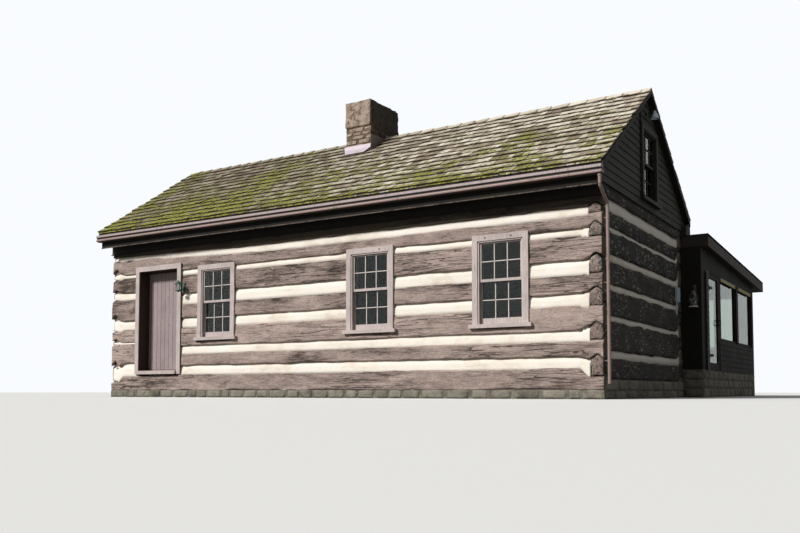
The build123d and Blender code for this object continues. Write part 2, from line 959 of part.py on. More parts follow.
def lantern(size, tall):
    """Wall lantern facing -Y with its plate on y = 0 and its foot at z = 0."""
    half = size / 2
    plate = block((-half / 2, half / 2), (-lantern_plate, 0), (tall / 4, 3 * tall / 4))
    arm = block(
        (-lantern_plate / 2, lantern_plate / 2),
        (-lantern_plate - lantern_arm, -lantern_plate),
        (tall / 2, tall / 2 + lantern_plate),
    )
    body_middle = -lantern_plate - lantern_arm - half / 2
    body_tall = lantern_body_share * tall
    body = Pos(0, body_middle, body_tall / 2) * Box(half, half, body_tall)
    cap_face = Pos(0, body_middle, body_tall) * Rectangle(size, half + lantern_arm)
    cap = extrude(
        cap_face, amount=tall - body_tall, taper=math.degrees(math.atan(half / tall))
    )
    return plate + arm + body + cap


def wall_fittings():
    place = Pos(along_front(door_position - door_lantern_offset), wall_front, door_lantern_height)
    export_node("door_lantern", [place * lantern(door_lantern_size, door_lantern_tall)])
    place = Pos(sunroom_outer - sunroom_lantern_inset, wall_back, sunroom_lantern_height)
    export_node("sunroom_lantern", [place * lantern(sunroom_lantern_size, sunroom_lantern_tall)])

    bell = Cone(bell_lamp_radius, bell_lamp_radius / 3, bell_lamp_tall)
    stem_top = bell_lamp_tall / 2 + 2 * bell_lamp_stem
    stem = Pos(0, 0, bell_lamp_tall / 2) * Cylinder(bell_lamp_stem / 2, 4 * bell_lamp_stem)
    arm = Pos(-bell_lamp_reach / 2, 0, stem_top) * Box(
        bell_lamp_reach + bell_lamp_stem, bell_lamp_stem, bell_lamp_stem
    )
    lamp_x = siding_face + bell_lamp_reach + bell_lamp_stem / 2
    place = Pos(lamp_x, ridge_line, ridge_height - bell_lamp_drop)
    export_node("gable_lamp", [place * (bell + stem + arm)])

    box_back = wall_back - meter_box_from_back
    meter = block(
        (wall_right, wall_right + meter_box_deep),
        (box_back, box_back + meter_box_width),
        (meter_box_height, meter_box_height + meter_box_tall),
    )
    junction_low = meter_box_height - junction_box_drop
    junction = block(
        (wall_right, wall_right + meter_box_deep / 2),
        (box_back, box_back + junction_box_size),
        (junction_low - junction_box_size, junction_low),
    )
    export_node("meter_boxes", [meter, junction])


os.makedirs("parts", exist_ok=True)
foundation()
front_wall()
back_wall()
gable_walls()
floors()
chimney()
roof()
rake_boards()
eaves()
gables()
gutter()
downspout()
windows()
front_door()
sunroom_walls()
sunroom_windows()
sunroom_door()
sunroom_base_and_roof()
wall_fittings()
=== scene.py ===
import math
import random

import bmesh
import bpy
import numpy as np
from mathutils import Matrix, Vector


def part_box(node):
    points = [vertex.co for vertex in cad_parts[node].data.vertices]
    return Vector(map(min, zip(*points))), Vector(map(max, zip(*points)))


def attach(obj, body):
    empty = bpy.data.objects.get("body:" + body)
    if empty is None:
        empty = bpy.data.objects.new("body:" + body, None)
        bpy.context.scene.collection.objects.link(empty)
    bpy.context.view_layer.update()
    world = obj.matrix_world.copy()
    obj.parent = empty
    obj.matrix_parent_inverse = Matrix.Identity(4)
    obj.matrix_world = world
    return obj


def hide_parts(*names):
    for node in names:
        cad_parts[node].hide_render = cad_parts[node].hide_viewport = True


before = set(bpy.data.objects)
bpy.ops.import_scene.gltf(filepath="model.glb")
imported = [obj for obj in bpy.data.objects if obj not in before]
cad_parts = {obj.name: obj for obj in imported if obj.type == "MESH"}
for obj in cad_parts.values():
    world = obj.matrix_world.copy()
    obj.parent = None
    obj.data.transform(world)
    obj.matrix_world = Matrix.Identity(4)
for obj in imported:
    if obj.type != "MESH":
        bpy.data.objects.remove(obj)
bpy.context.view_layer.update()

# Places of the house, read from the frame, with its slope and the sag along its ridge
plate_low, plate_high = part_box("front_plate_log")
roof_low, roof_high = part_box("front_roof")
stack_low, stack_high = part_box("chimney_stack")
gutter_low, gutter_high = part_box("front_gutter")
WALL_LEFT, WALL_RIGHT = plate_low.x, plate_high.x
WALL_FRONT, WALL_BACK = plate_low.y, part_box("back_wall_logs")[1].y
EAVE_FRONT, EAVE_BACK = roof_low.y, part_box("back_roof")[1].y
BOXED_HALF = (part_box("back_rake_boards")[1].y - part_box("front_rake_boards")[0].y) / 2
RIDGE_Y = (WALL_FRONT + WALL_BACK) / 2
RIDGE_Z = roof_high.z
ROOF_RUN = RIDGE_Y - EAVE_FRONT
SLOPE = 0.70
RIDGE_SAG = 0.040
GUTTER_BOTTOM = gutter_low.z + 0.008
GUTTER_LIP = gutter_high.z + 0.036

# Distance from the middle beyond which casings and muntins have the gables' paint
GABLE_START = 4.7

# Heights of the joints between logs and mortar: in most of the house, and left of the door
JOINTS_ELSEWHERE = (
    0.0, 0.2, 0.445, 0.60, 0.81, 1.042, 1.296, 1.53, 1.763, 1.996, 2.288, 2.452, 2.615, 2.733, 3.0, 6.0
)
JOINTS_BESIDE_DOOR = (
    0.0, 0.2, 0.42, 0.64, 1.05, 1.10, 1.304, 1.545, 1.94, 2.089, 2.344, 2.455, 2.735, 2.80, 3.0, 6.0
)


def shake_level(y):
    """Height of the shakes over a place between front and back."""
    away = abs(y - RIDGE_Y)
    return RIDGE_Z - SLOPE * away - RIDGE_SAG * (1.0 - away / ROOF_RUN)


def per_axis(axis, own, others=1.0):
    """Three numbers: one for an axis and another for the two that cross it."""
    return tuple(own if number == axis else others for number in range(3))


def linear(color):
    """A colour from 0 to 255, as it looks on paper, in a shader's values. Others stay as they are."""
    if not isinstance(color, tuple) or len(color) == 4:
        return color
    values = []
    for channel in color:
        share = channel / 255
        values.append(share / 12.92 if share <= 0.04045 else ((share + 0.055) / 1.055) ** 2.4)
    return (*values, 1.0)


def brighter(color, factor):
    return tuple(min(1.0, channel * factor) for channel in linear(color)[:3]) + (1.0,)


def maths(operation, swapped=False):
    """What a Python operator does with a field: a maths node, perhaps with its values swapped."""

    def act(field, *others):
        values = (*others, field) if swapped else (field, *others)
        return field.math(operation, *values)

    return act


class Field:
    """A socket in a node tree that takes part in Python expressions."""

    def __init__(self, tree, socket=None):
        self.tree = tree
        self.socket = socket

    def make(self, kind, settings=None, inputs=None, output=0):
        """One more node: its settings first, then the values or links of its sockets."""
        node = self.tree.nodes.new(kind)
        for name, value in (settings or {}).items():
            if name == "stops":
                ramp = node.color_ramp.elements
                while len(ramp) < len(value):
                    ramp.new(0.5)
                for element, (place, color) in zip(ramp, value):
                    element.position = place
                    element.color = linear(color)
            else:
                setattr(node, name, value)
        for name, value in (inputs or {}).items():
            if isinstance(value, Field):
                self.tree.links.new(value.socket, node.inputs[name])
            else:
                node.inputs[name].default_value = value
        return Field(self.tree, node.outputs[output])

    def math(self, operation, *values):
        return self.make("ShaderNodeMath", {"operation": operation}, dict(enumerate(values)))

    __add__ = maths("ADD")
    __radd__ = maths("ADD", swapped=True)
    __sub__ = maths("SUBTRACT")
    __rsub__ = maths("SUBTRACT", swapped=True)
    __mul__ = maths("MULTIPLY")
    __truediv__ = maths("DIVIDE")
    __gt__ = maths("GREATER_THAN")
    __lt__ = maths("LESS_THAN")
    floor = maths("FLOOR")
    fraction = maths("FRACT")
    absolute = maths("ABSOLUTE")

    def between(self, low, high):
        return self.make("ShaderNodeClamp", None, {"Value": self, "Min": low, "Max": high})

    def smooth(self, low, high):
        """0 below low, 1 above high, and a soft step between them."""
        inputs = {"Value": self, "From Min": low, "From Max": high}
        return self.make("ShaderNodeMapRange", {"interpolation_type": "SMOOTHSTEP"}, inputs)

    def mix(self, first, second):
        """Two colours, blended by this number."""
        inputs = {0: self, 6: linear(first), 7: linear(second)}
        return self.make("ShaderNodeMix", {"data_type": "RGBA"}, inputs, output=2)

    def tint(self, other):
        """This colour, multiplied by another."""
        settings = {"data_type": "RGBA", "blend_type": "MULTIPLY"}
        return self.make("ShaderNodeMix", settings, {0: 1.0, 6: self, 7: linear(other)}, output=2)

    def ramp(self, *stops):
        return self.make("ShaderNodeValToRGB", {"stops": stops}, {"Fac": self})

    def stretched(self, scale):
        """This place, with its axes stretched."""
        return self.make("ShaderNodeMapping", None, {"Vector": self, "Scale": scale})

    def noise(self, scale, detail=4.0, roughness=0.55, distortion=0.0):
        inputs = {"Vector": self, "Scale": scale, "Detail": detail, "Roughness": roughness}
        return self.make("ShaderNodeTexNoise", None, {**inputs, "Distortion": distortion})

    def axis(self, name):
        return self.make("ShaderNodeSeparateXYZ", None, {"Vector": self}, output=name)

    def vector(self, x, y, z):
        return self.make("ShaderNodeCombineXYZ", None, {"X": x, "Y": y, "Z": z})


class Finish:
    """One material: its shader, and the place on the piece."""

    def __init__(self, name, **constants):
        self.material = bpy.data.materials.new(name)
        self.material.use_nodes = True
        self.tree = self.material.node_tree
        self.shader = self.tree.nodes["Principled BSDF"]
        self.start = Field(self.tree)
        self.place = self.start.make("ShaderNodeTexCoord", output="Object")
        for socket, value in constants.items():
            self.shader.inputs[socket.replace("_", " ")].default_value = value

    def normal(self):
        return self.start.make("ShaderNodeTexCoord", output="Normal")

    def attribute(self, name):
        return self.start.make("ShaderNodeAttribute", {"attribute_name": name}, output="Fac")

    def set(self, socket, field):
        self.tree.links.new(field.socket, self.shader.inputs[socket])

    def bump(self, height, distance, strength=1.0):
        inputs = {"Height": height, "Distance": distance, "Strength": strength}
        self.set("Normal", self.start.make("ShaderNodeBump", None, inputs))


def hewn_log_finish(name, axis, light, dark, end_light, lichen=0.0):
    """Weathered hewn timber: long grain, dark weather stains, checks, and paler end grain; on the gable logs
    the darker sides are partly painted shade.
    """
    finish = Finish(name, Roughness=0.92)
    tone = finish.attribute("tone")
    shift = finish.start.vector(tone * 37.0, tone * 19.0, tone * 53.0)
    place = finish.start.make("ShaderNodeVectorMath", {"operation": "ADD"}, {0: finish.place, 1: shift})

    def grained(along):
        return place.stretched(per_axis(axis, along))

    stain = grained(0.22).noise(5.0, 5.0, 0.6, 0.6)
    grain = grained(0.09).noise(70.0, 5.0, 0.65, 0.4)
    fibre = grained(0.09).noise(260.0, 3.0, 0.6)
    patch = place.noise(2.3, 3.0, 0.5)
    check_line = 1.0 - (grained(0.05).noise(16.0, 2.0, 0.45, 0.9) - 0.5).absolute().smooth(0.004, 0.022)
    long_check = check_line * grained(0.3).noise(1.9, 2.0, 0.5).smooth(0.42, 0.6)
    # Paler towards the bottom of the wall.
    paler_toward_bottom = finish.place.axis("Z").smooth(2.1, 1.4) * 0.14
    level = stain * 1.3 + grain + patch * 0.4 + tone * 0.3 + paler_toward_bottom - 1.045
    side = level.ramp((0.16, dark), (0.46, light), (0.8, brighter(light, 1.5)))
    rings = place.noise(24.0, 4.0, 0.6, 1.2) * 0.8 + patch * 0.4 - 0.1
    end = rings.ramp((0.3, dark), (0.5, end_light), (0.75, brighter(end_light, 1.3)))
    base = finish.normal().axis("XYZ"[axis]).absolute().smooth(0.55, 0.8).mix(side, end)
    worn = fibre.smooth(0.35, 0.7).mix(base.tint((190, 182, 176)), base)
    if lichen:
        specks = grained(0.4).noise(26.0, 6.0, 0.75).smooth(0.55, 0.585)
        spread = finish.place.noise(2.4, 3.0).smooth(0.42, 0.54)
        worn = (specks * spread * lichen).mix(worn, (172, 168, 156))
    finish.set("Base Color", (long_check * 0.85).mix(worn, (34, 27, 22)))
    finish.bump(grain * 0.5 + fibre * 0.25 + stain * 0.6 - long_check * 1.2, 0.014)
    return finish.material


def mortar_finish():
    """Trowelled lime mortar, cream, with faint stains and sand, and painted shade where it meets the log
    above.
    """
    finish = Finish("chinking_mortar", Roughness=0.95)
    # Painted shade: a dark brown rim at the top of each strip, under the log above.
    joint = finish.attribute("rise").smooth(0.86, 0.98)
    cloud = finish.place.noise(1.6, 4.0, 0.55)
    sand = finish.place.noise(240.0, 2.0, 0.6)
    stroke = finish.place.stretched((0.3, 0.3, 1.0)).noise(14.0, 4.0, 0.55)
    level = cloud * 0.7 + stroke * 0.3
    base = level.ramp((0.34, (226, 214, 198)), (0.47, (248, 240, 228)), (0.62, (253, 248, 240)))
    sanded = base.tint(sand.ramp((0.35, (232, 228, 222)), (0.6, (255, 255, 255))))
    finish.set("Base Color", (joint * 0.9).mix(sanded, (66, 48, 38)))
    finish.bump(stroke + sand * 0.35, 0.006, 0.7)
    return finish.material


def wood_paint_finish(name, color, axis, wear, worn_color, roughness, gable_color=None, lining=None):
    """Painted board: fine grain, dust and worn spots, with other paint on the gables and a darker colour
    inside.
    """
    finish = Finish(name, Specular_IOR_Level=0.25)
    grain = finish.place.stretched(per_axis(axis, 0.08)).noise(90.0, 4.0, 0.6, 0.3)
    cloud = finish.place.noise(3.1, 4.0, 0.6)
    chips = finish.place.stretched(per_axis(axis, 0.35)).noise(38.0, 5.0, 0.7)
    mask = chips.smooth(0.66 - wear, 0.72 - wear) * cloud.smooth(0.35, 0.6)
    level = grain * 0.6 + cloud * 0.4 + (finish.attribute("tone") - 0.5) * 0.16

    def tones(color, crest):
        return level.ramp((0.28, brighter(color, 0.68)), (0.5, color), (0.75, brighter(color, crest)))

    base = mask.mix(tones(color, 1.2), worn_color)
    if gable_color:
        on_gable = finish.place.axis("X").absolute() > GABLE_START
        base = on_gable.mix(base, tones(gable_color, 1.3))
    if lining:
        within = finish.place.axis("Y").smooth(WALL_FRONT - 0.012, WALL_FRONT - 0.006)
        base = within.mix(base, tones(lining, 1.3))
    finish.set("Base Color", base)
    finish.set("Roughness", roughness + cloud * 0.25 - 0.1)
    finish.bump(grain + mask * 0.4, 0.002, 0.6)
    return finish.material


def shake_finish():
    """Split shakes gone grey, with moss in the joints and on the lower courses."""
    finish = Finish("mossy_shakes", Roughness=0.94)
    butt = finish.attribute("butt")
    grain = finish.place.stretched(per_axis(0, 1.0, 0.12)).noise(120.0, 4.0, 0.65, 0.3)
    cloud = finish.place.noise(0.9, 5.0, 0.62)
    spots = finish.place.noise(7.5, 5.0, 0.65)
    level = grain * 0.5 + finish.attribute("tone") * 0.4 + spots * 0.25 - 0.08
    base = level.ramp(
        (0.22, (98, 84, 69)), (0.42, (164, 150, 130)), (0.56, (202, 192, 172)), (0.8, (238, 231, 216))
    )
    leftward = finish.place.axis("X").smooth(3.0, -3.0)
    # Darker towards the left end: partly painted shadow of trees, partly mossier, dirtier shakes.
    base = (leftward * 0.72).mix(base, base.tint((146, 136, 118)))
    lower = (finish.place.axis("Z") - 4.1) * -0.13
    tufts = finish.place.noise(19.0, 4.0, 0.7)
    spread = cloud * 0.85 + spots * 0.8 + tufts * 0.45 + butt * 0.24 + lower + leftward * 0.09
    moss = spread.smooth(1.272, 1.335)
    moss_tone = finish.place.noise(26.0, 3.0)
    moss_color = moss_tone.ramp((0.3, (70, 74, 22)), (0.5, (140, 142, 44)), (0.7, (198, 192, 84)))
    litter = finish.place.noise(17.0, 4.0, 0.7).smooth(0.63, 0.69)
    dirty = (litter * 0.7).mix(base, (90, 58, 34))
    # Painted shade: a dark band where the next course's butt overhangs, and dark butt faces.
    painted_shade_below_butts = butt.smooth(0.20, 0.24) * (1.0 - butt.smooth(0.27, 0.36))
    shaded = painted_shade_below_butts.math("MAXIMUM", butt.smooth(0.97, 1.0) * 0.9, painted_shade_below_butts * 0.8)
    finish.set("Base Color", shaded.mix((moss * 0.85).mix(dirty, moss_color), (40, 31, 23)))
    finish.bump(grain * 0.5 + moss * finish.place.noise(60.0, 4.0, 0.7) * 1.6, 0.012)
    return finish.material


def stone_finish(name, light, dark, moss_amount, painted_side_shade=None, blotches=0.0):
    """Rough stone with a tone for each block, pits, dark blotches and lichen, and perhaps sides darkened as
    painted shade.
    """
    finish = Finish(name, Roughness=0.93)
    cloud = finish.place.noise(6.0, 5.0, 0.6)
    inputs = {"Vector": finish.place, "Scale": 28.0}
    pits = finish.start.make("ShaderNodeTexVoronoi", {"feature": "F1"}, inputs, "Distance")
    rough = finish.place.noise(42.0, 6.0, 0.7)
    level = cloud * 0.75 + finish.attribute("tone") * 0.25
    base = level.ramp((0.25, dark), (0.5, light), (0.85, brighter(light, 1.5)))
    pitted = (1.0 - pits.smooth(0.08, 0.3)) * rough.smooth(0.45, 0.6)
    base = (pitted * 0.8).mix(base, (52, 42, 30))
    if blotches:
        crown = (finish.place.axis("Z") - stack_high.z).smooth(-0.08, 0.0)
        blotch = (finish.place.noise(11.0, 5.0, 0.65) + crown * 0.22).smooth(0.52, 0.62)
        base = (blotch * blotches).mix(base, (70, 54, 40))
        soot = finish.place.noise(24.0, 5.0, 0.7).smooth(0.56, 0.6) * blotches
        base = (soot * 0.8).mix(base, (54, 42, 32))
    moss = finish.place.noise(9.0, 4.0, 0.6).smooth(0.62 - moss_amount, 0.72 - moss_amount)
    base = (moss * 0.6).mix(base, (92, 96, 58))
    # Sides facing along X darkened: painted shade, partly dark lichen.
    if painted_side_shade:
        base = finish.normal().axis("X").absolute().smooth(0.5, 0.8).mix(base, base.tint(painted_side_shade))
    finish.set("Base Color", base)
    finish.bump(rough * 0.8 + pits * 0.5 + cloud * 0.5, 0.012, 0.9)
    return finish.material


def metal_finish(name, color, metallic, roughness, stain_color, stain):
    """Sheet metal or enamel with streaks of dirt."""
    finish = Finish(name, Metallic=metallic)
    cloud = finish.place.noise(5.0, 4.0, 0.6)
    streak = finish.place.stretched((1.0, 1.0, 0.15)).noise(34.0, 4.0, 0.6)
    mask = (cloud * 0.5 + streak * 0.5).smooth(0.62 - stain, 0.78 - stain)
    finish.set("Base Color", mask.mix(color, stain_color))
    finish.set("Roughness", roughness + streak * 0.25 - 0.08)
    finish.bump(cloud + streak * 0.3, 0.0012, 0.5)
    return finish.material


def gutter_finish():
    """Brown enamel: a dull pale lip and a lighter bead as painted highlights, a dark groove under the lip,
    with streaks of dirt.
    """
    finish = Finish("gutter_enamel")
    rise = finish.place.axis("Z") - GUTTER_BOTTOM
    cloud = finish.place.noise(4.0, 4.0, 0.6)
    streak = finish.place.stretched((1.0, 1.0, 0.2)).noise(30.0, 4.0, 0.65)
    specks = finish.place.stretched((0.5, 1.0, 1.0)).noise(46.0, 3.0, 0.7).smooth(0.60, 0.68)
    body = cloud.mix((66, 52, 46), (46, 36, 32))
    # Painted highlights: the pale lip colour and the lighter bead colour.
    pale = streak.mix((196, 180, 178), (150, 132, 130))
    bead = rise.smooth(0.012, 0.016) * (1.0 - rise.smooth(0.051, 0.054))
    base = bead.mix(rise.smooth(0.090, 0.091).mix(body, pale), (160, 136, 128))
    dirt = (streak * 0.5 + cloud * 0.5).smooth(0.52, 0.66) * 0.55
    finish.set("Base Color", dirt.math("MAXIMUM", dirt, specks * 0.6).mix(base, (74, 58, 50)))
    finish.set("Roughness", 0.45 + streak * 0.25)
    finish.bump(cloud + streak * 0.3, 0.0012, 0.5)
    return finish.material


def glass_finish():
    """Old window glass: a thin clear sheet with a gloss."""
    color = linear((196, 210, 200))
    finish = Finish("window_pane", Roughness=0.02, Transmission_Weight=1.0, IOR=1.45, Base_Color=color)
    finish.bump(finish.place.noise(2.2, 2.0, 0.4), 0.004, 0.25)
    return finish.material


MAUVE = (200, 186, 182)
WORN_MAUVE = (150, 134, 126)
DARK_TRIM = (42, 37, 32)
SHADED_SIDE = (104, 102, 92)
FINISH = {
    "logs_x": hewn_log_finish("hewn_logs_front", 0, (177, 160, 153), (72, 56, 48), (120, 108, 98)),
    # Gable logs: the dark side colours are partly rougher, darker wood and partly painted shade; the end
    # grain keeps a lit colour.
    "logs_y": hewn_log_finish("hewn_logs_gable_painted_shade", 1, (48, 45, 37), (17, 15, 12), (158, 142, 134), 0.75),
    # The plate log's dark colours are painted shade from the eave, and partly dark weathering.
    "plate": hewn_log_finish("hewn_plate_log_painted_shade", 0, (84, 74, 64), (34, 28, 23), (90, 80, 70)),
    "mortar": mortar_finish(),
    "trim_dark": wood_paint_finish("dark_trim", DARK_TRIM, 0, 0.06, (92, 78, 68), 0.7),
    "clapboards": wood_paint_finish("clapboards", (48, 51, 42), 1, 0.02, (76, 76, 64), 0.7),
    "casing": wood_paint_finish("casing_upright", MAUVE, 2, 0.05, WORN_MAUVE, 0.62, DARK_TRIM),
    "muntins": wood_paint_finish("muntin_paint", (214, 204, 198), 2, 0.03, WORN_MAUVE, 0.6, (60, 56, 50)),
    "door": wood_paint_finish("door_planks", (158, 142, 142), 2, 0.07, (104, 90, 86), 0.7),
    "door_frame": wood_paint_finish("door_casing", MAUVE, 2, 0.05, WORN_MAUVE, 0.62, None, (66, 50, 43)),
    "floor": wood_paint_finish("floor_boards", (128, 98, 68), 0, 0.08, (92, 68, 46), 0.6),
    "bead": wood_paint_finish("trim_bead", (104, 89, 77), 0, 0.2, (52, 43, 38), 0.7),
    "sunroom": wood_paint_finish("sunroom_boards", (25, 22, 15), 2, 0.01, (48, 42, 32), 0.75),
    "sunroom_edge": wood_paint_finish("sunroom_fascia", (62, 55, 49), 1, 0.01, (84, 74, 66), 0.65),
    "head_trim": wood_paint_finish("sunroom_head_trim", (196, 186, 138), 1, 0.05, (120, 110, 80), 0.7),
    "shakes": shake_finish(),
    # The chimney's stones and joints get painted shade on their X-facing sides.
    "chimney": stone_finish("chimney_stones", (176, 158, 142), (116, 100, 87), -0.03, SHADED_SIDE, 0.7),
    "chimney_joints": stone_finish("chimney_joints", (126, 106, 90), (84, 68, 56), -0.2, (62, 62, 58)),
    "footing": stone_finish("footing_fieldstone", (132, 126, 114), (82, 77, 68), 0.06),
    "gutter": gutter_finish(),
    "downspout": metal_finish("downspout_enamel", (150, 128, 120), 0.0, 0.4, (84, 68, 60), 0.1),
    "flashing": metal_finish("flashing_sheet", (192, 180, 188), 0.2, 0.55, (140, 126, 124), 0.1),
    # A darker copy of the flashing for the side sheets: painted shade.
    "flashing_side": metal_finish("flashing_painted_shade", (104, 94, 92), 0.2, 0.6, (74, 64, 60), 0.1),
    "brass": metal_finish("patina_brass", (76, 98, 88), 0.4, 0.6, (52, 58, 50), 0.14),
    "iron": metal_finish("black_iron", (44, 41, 40), 0.4, 0.5, (70, 58, 48), 0.06),
    "tin": metal_finish("dull_tin", (104, 98, 88), 0.3, 0.5, (66, 60, 52), 0.1),
    "dish": metal_finish("pale_enamel_dish", (220, 216, 202), 0.0, 0.45, (140, 132, 118), 0.06),
    "enamel": metal_finish("lamp_enamel", (226, 238, 250), 0.0, 0.35, (176, 186, 192), 0.05),
    # Pale box paint; its bluish tint is painted skylight.
    "meter": metal_finish("meter_paint", (186, 202, 210), 0.1, 0.45, (130, 142, 146), 0.06),
    "glass": glass_finish(),
    "lantern_glass": glass_finish(),
}


def new_piece(name, mesh):
    piece = bpy.data.objects.new(name, mesh)
    bpy.context.scene.collection.objects.link(piece)
    return piece


def dress(piece, finish, node=None, body="house"):
    """Gives a piece its material and its body, and hides the CAD node that it stands for."""
    if finish:
        piece.data.materials.clear()
        piece.data.materials.append(FINISH[finish])
    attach(piece, body)
    if node:
        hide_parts(node)


def mesh_from(name, points, faces):
    mesh = bpy.data.meshes.new(name)
    mesh.from_pydata([tuple(point) for point in points], [], faces)
    mesh.update()
    return mesh


def node_solids(node):
    """The separate solids of a CAD node, each as a clean mesh."""
    source = bmesh.new()
    source.from_mesh(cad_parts[node].data)
    bmesh.ops.remove_doubles(source, verts=source.verts, dist=1e-5)
    todo = set(source.verts)
    solids = []
    while todo:
        group = {todo.pop()}
        edge = list(group)
        while edge:
            vert = edge.pop()
            linked = {link.other_vert(vert) for link in vert.link_edges} - group
            group |= linked
            edge.extend(linked)
        todo -= group
        index = {vert: i for i, vert in enumerate(sorted(group, key=lambda v: v.index))}
        faces = [[index[v] for v in face.verts] for face in source.faces if face.verts[0] in index]
        solids.append(mesh_from(node, [v.co.copy() for v in index], faces))
    source.free()

    def place(mesh):
        x, y, z = (min(vert.co[axis] for vert in mesh.vertices) for axis in range(3))
        return round(z, 3), x, y

    return sorted(solids, key=place)


def solid_boxes(node):
    """The low and the high corner of each separate solid of a CAD node."""
    clouds = [np.array([tuple(vert.co) for vert in mesh.vertices]) for mesh in node_solids(node)]
    return [(points.min(axis=0), points.max(axis=0)) for points in clouds]


def wall_axes(low, high):
    """The axis along which a window runs, and the one that goes through its wall."""
    along = 0 if high[0] - low[0] > high[1] - low[1] else 1
    return along, 1 - along


def recut(node, name, finish, cut):
    """A copy of a CAD node as a piece of its own, with its points moved by a rule."""
    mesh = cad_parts[node].data.copy()
    for vert in mesh.vertices:
        cut(vert.co)
    dress(new_piece(name, mesh), finish)


def remeshed(mesh, voxel):
    """Points, normals and faces of a solid after an even remesh."""
    holder = new_piece("remesh_work", mesh)
    modifier = holder.modifiers.new("even", "REMESH")
    modifier.mode = "VOXEL"
    modifier.voxel_size = voxel
    modifier.adaptivity = 0.0
    result = bpy.data.meshes.new_from_object(holder.evaluated_get(bpy.context.evaluated_depsgraph_get()))
    points = np.empty(len(result.vertices) * 3)
    result.vertices.foreach_get("co", points)
    normals = np.empty(len(result.vertices) * 3)
    result.vertices.foreach_get("normal", normals)
    faces = [list(polygon.vertices) for polygon in result.polygons]
    bpy.data.objects.remove(holder)
    bpy.data.meshes.remove(result)
    return points.reshape(-1, 3), normals.reshape(-1, 3), faces


class Waves:
    """Smooth seeded noise from a lattice of random values, for whole arrays of points."""

    def __init__(self, seed, size=32):
        self.size = size
        self.lattice = np.random.default_rng(seed).uniform(-1.0, 1.0, (size, size, size))

    def __call__(self, points, scale):
        scaled = points * np.asarray(scale)
        cell = np.floor(scaled).astype(int)
        part = scaled - cell
        part = part * part * (3.0 - 2.0 * part)
        total = np.zeros(len(points))
        for corner in np.ndindex(2, 2, 2):
            weight = np.where(corner, part, 1 - part)
            at = (cell + corner) % self.size
            total += weight[:, 0] * weight[:, 1] * weight[:, 2] * self.lattice[at[:, 0], at[:, 1], at[:, 2]]
        return total


def joined_piece(name, parts):
    """One piece from parts of (points, faces, {attribute: a value, or one for each point})."""
    faces = []
    start = 0
    for points, part_faces, _ in parts:
        faces.extend([[start + index for index in face] for face in part_faces])
        start += len(points)
    mesh = mesh_from(name, np.vstack([part[0] for part in parts]).tolist(), faces)
    for attribute in parts[0][2]:
        values = [np.broadcast_to(part[2][attribute], len(part[0])).astype(float) for part in parts]
        layer = mesh.attributes.new(attribute, "FLOAT", "POINT")
        layer.data.foreach_set("value", np.concatenate(values))
    return new_piece(name, mesh)


def made(name, parts, finish, node=None, body="house", bevel=0.0, smooth=False):
    """A finished piece from closed shapes, with faces outward and perhaps a small bevel."""
    piece = joined_piece(name, parts)
    sheet = bmesh.new()
    sheet.from_mesh(piece.data)
    bmesh.ops.recalc_face_normals(sheet, faces=sheet.faces)
    sheet.to_mesh(piece.data)
    sheet.free()
    if smooth:
        piece.data.shade_smooth()
    if bevel:
        modifier = piece.modifiers.new("worn edges", "BEVEL")
        modifier.width = bevel
        modifier.segments = 1
        modifier.limit_method = "ANGLE"
    dress(piece, finish, node, body)


def block(low, high, tone=0.5):
    """A box between two corners."""
    points = [(x, y, z) for z in (low[2], high[2]) for y in (low[1], high[1]) for x in (low[0], high[0])]
    faces = [(0, 2, 3, 1), (4, 5, 7, 6), (0, 1, 5, 4), (2, 6, 7, 3), (0, 4, 6, 2), (1, 3, 7, 5)]
    return np.array(points, float), faces, {"tone": tone}


def spanned(spans, low=(0, 0, 0), high=(0, 0, 0)):
    """Two corners of a box, from its reach along some axes and another box for the rest."""
    low, high = list(low), list(high)
    for axis, ends in spans.items():
        low[axis], high[axis] = sorted(ends)
    return low, high


def skinned(first, second, tone=0.5):
    """A closed shape between two outlines of equal length."""
    count = len(first)
    faces = [list(range(count)), list(range(2 * count - 1, count - 1, -1))]
    for i in range(count):
        after = (i + 1) % count
        faces.append([i, after, count + after, count + i])
    return np.array([*first, *second], float), faces, {"tone": tone}


def prism(outline, axis, start, end, tone=0.5):
    """An outline in the two other axes, drawn out along one axis."""
    ends = [[(*pair[:axis], place, *pair[axis:]) for pair in outline] for place in (start, end)]
    return skinned(*ends, tone)


def ringed(points, sides, tone):
    """A closed shape from rings of points, one after another."""
    faces = [list(range(sides)), list(range(len(points) - 1, len(points) - sides - 1, -1))]
    for start in range(0, len(points) - sides, sides):
        for step in range(sides):
            after = (step + 1) % sides
            faces.append([start + step, start + after, start + sides + after, start + sides + step])
    return np.array([tuple(point) for point in points]), faces, {"tone": tone}


def round_points(count, start=0.0):
    """Cosine and sine of angles spread evenly round a circle."""
    angles = [start + 2 * math.pi * step / count for step in range(count)]
    return [(math.cos(angle), math.sin(angle)) for angle in angles]


def turned(profile, centre, sides=20, tone=0.5):
    """A profile of (radius, height) turned round an upright axis."""
    x, y, z = centre
    points = []
    for radius, height in profile:
        points += [(x + radius * c, y + radius * s, z + height) for c, s in round_points(sides)]
    return ringed(points, sides, tone)


def tube(path, radius, sides=8, tone=0.5):
    """A round rod along a path of points."""
    path = [Vector(point) for point in path]
    points = []
    for number, point in enumerate(path):
        ahead = path[min(number + 1, len(path) - 1)] - path[max(number - 1, 0)]
        side = ahead.cross(Vector((0.31, 0.22, 0.93))).normalized()
        up = side.cross(ahead).normalized()
        points += [point + radius * (c * side + s * up) for c, s in round_points(sides)]
    return ringed(points, sides, tone)


def upright(x, y, start, end):
    """The path of a rod that stands upright."""
    return [(x, y, start), (x, y, end)]


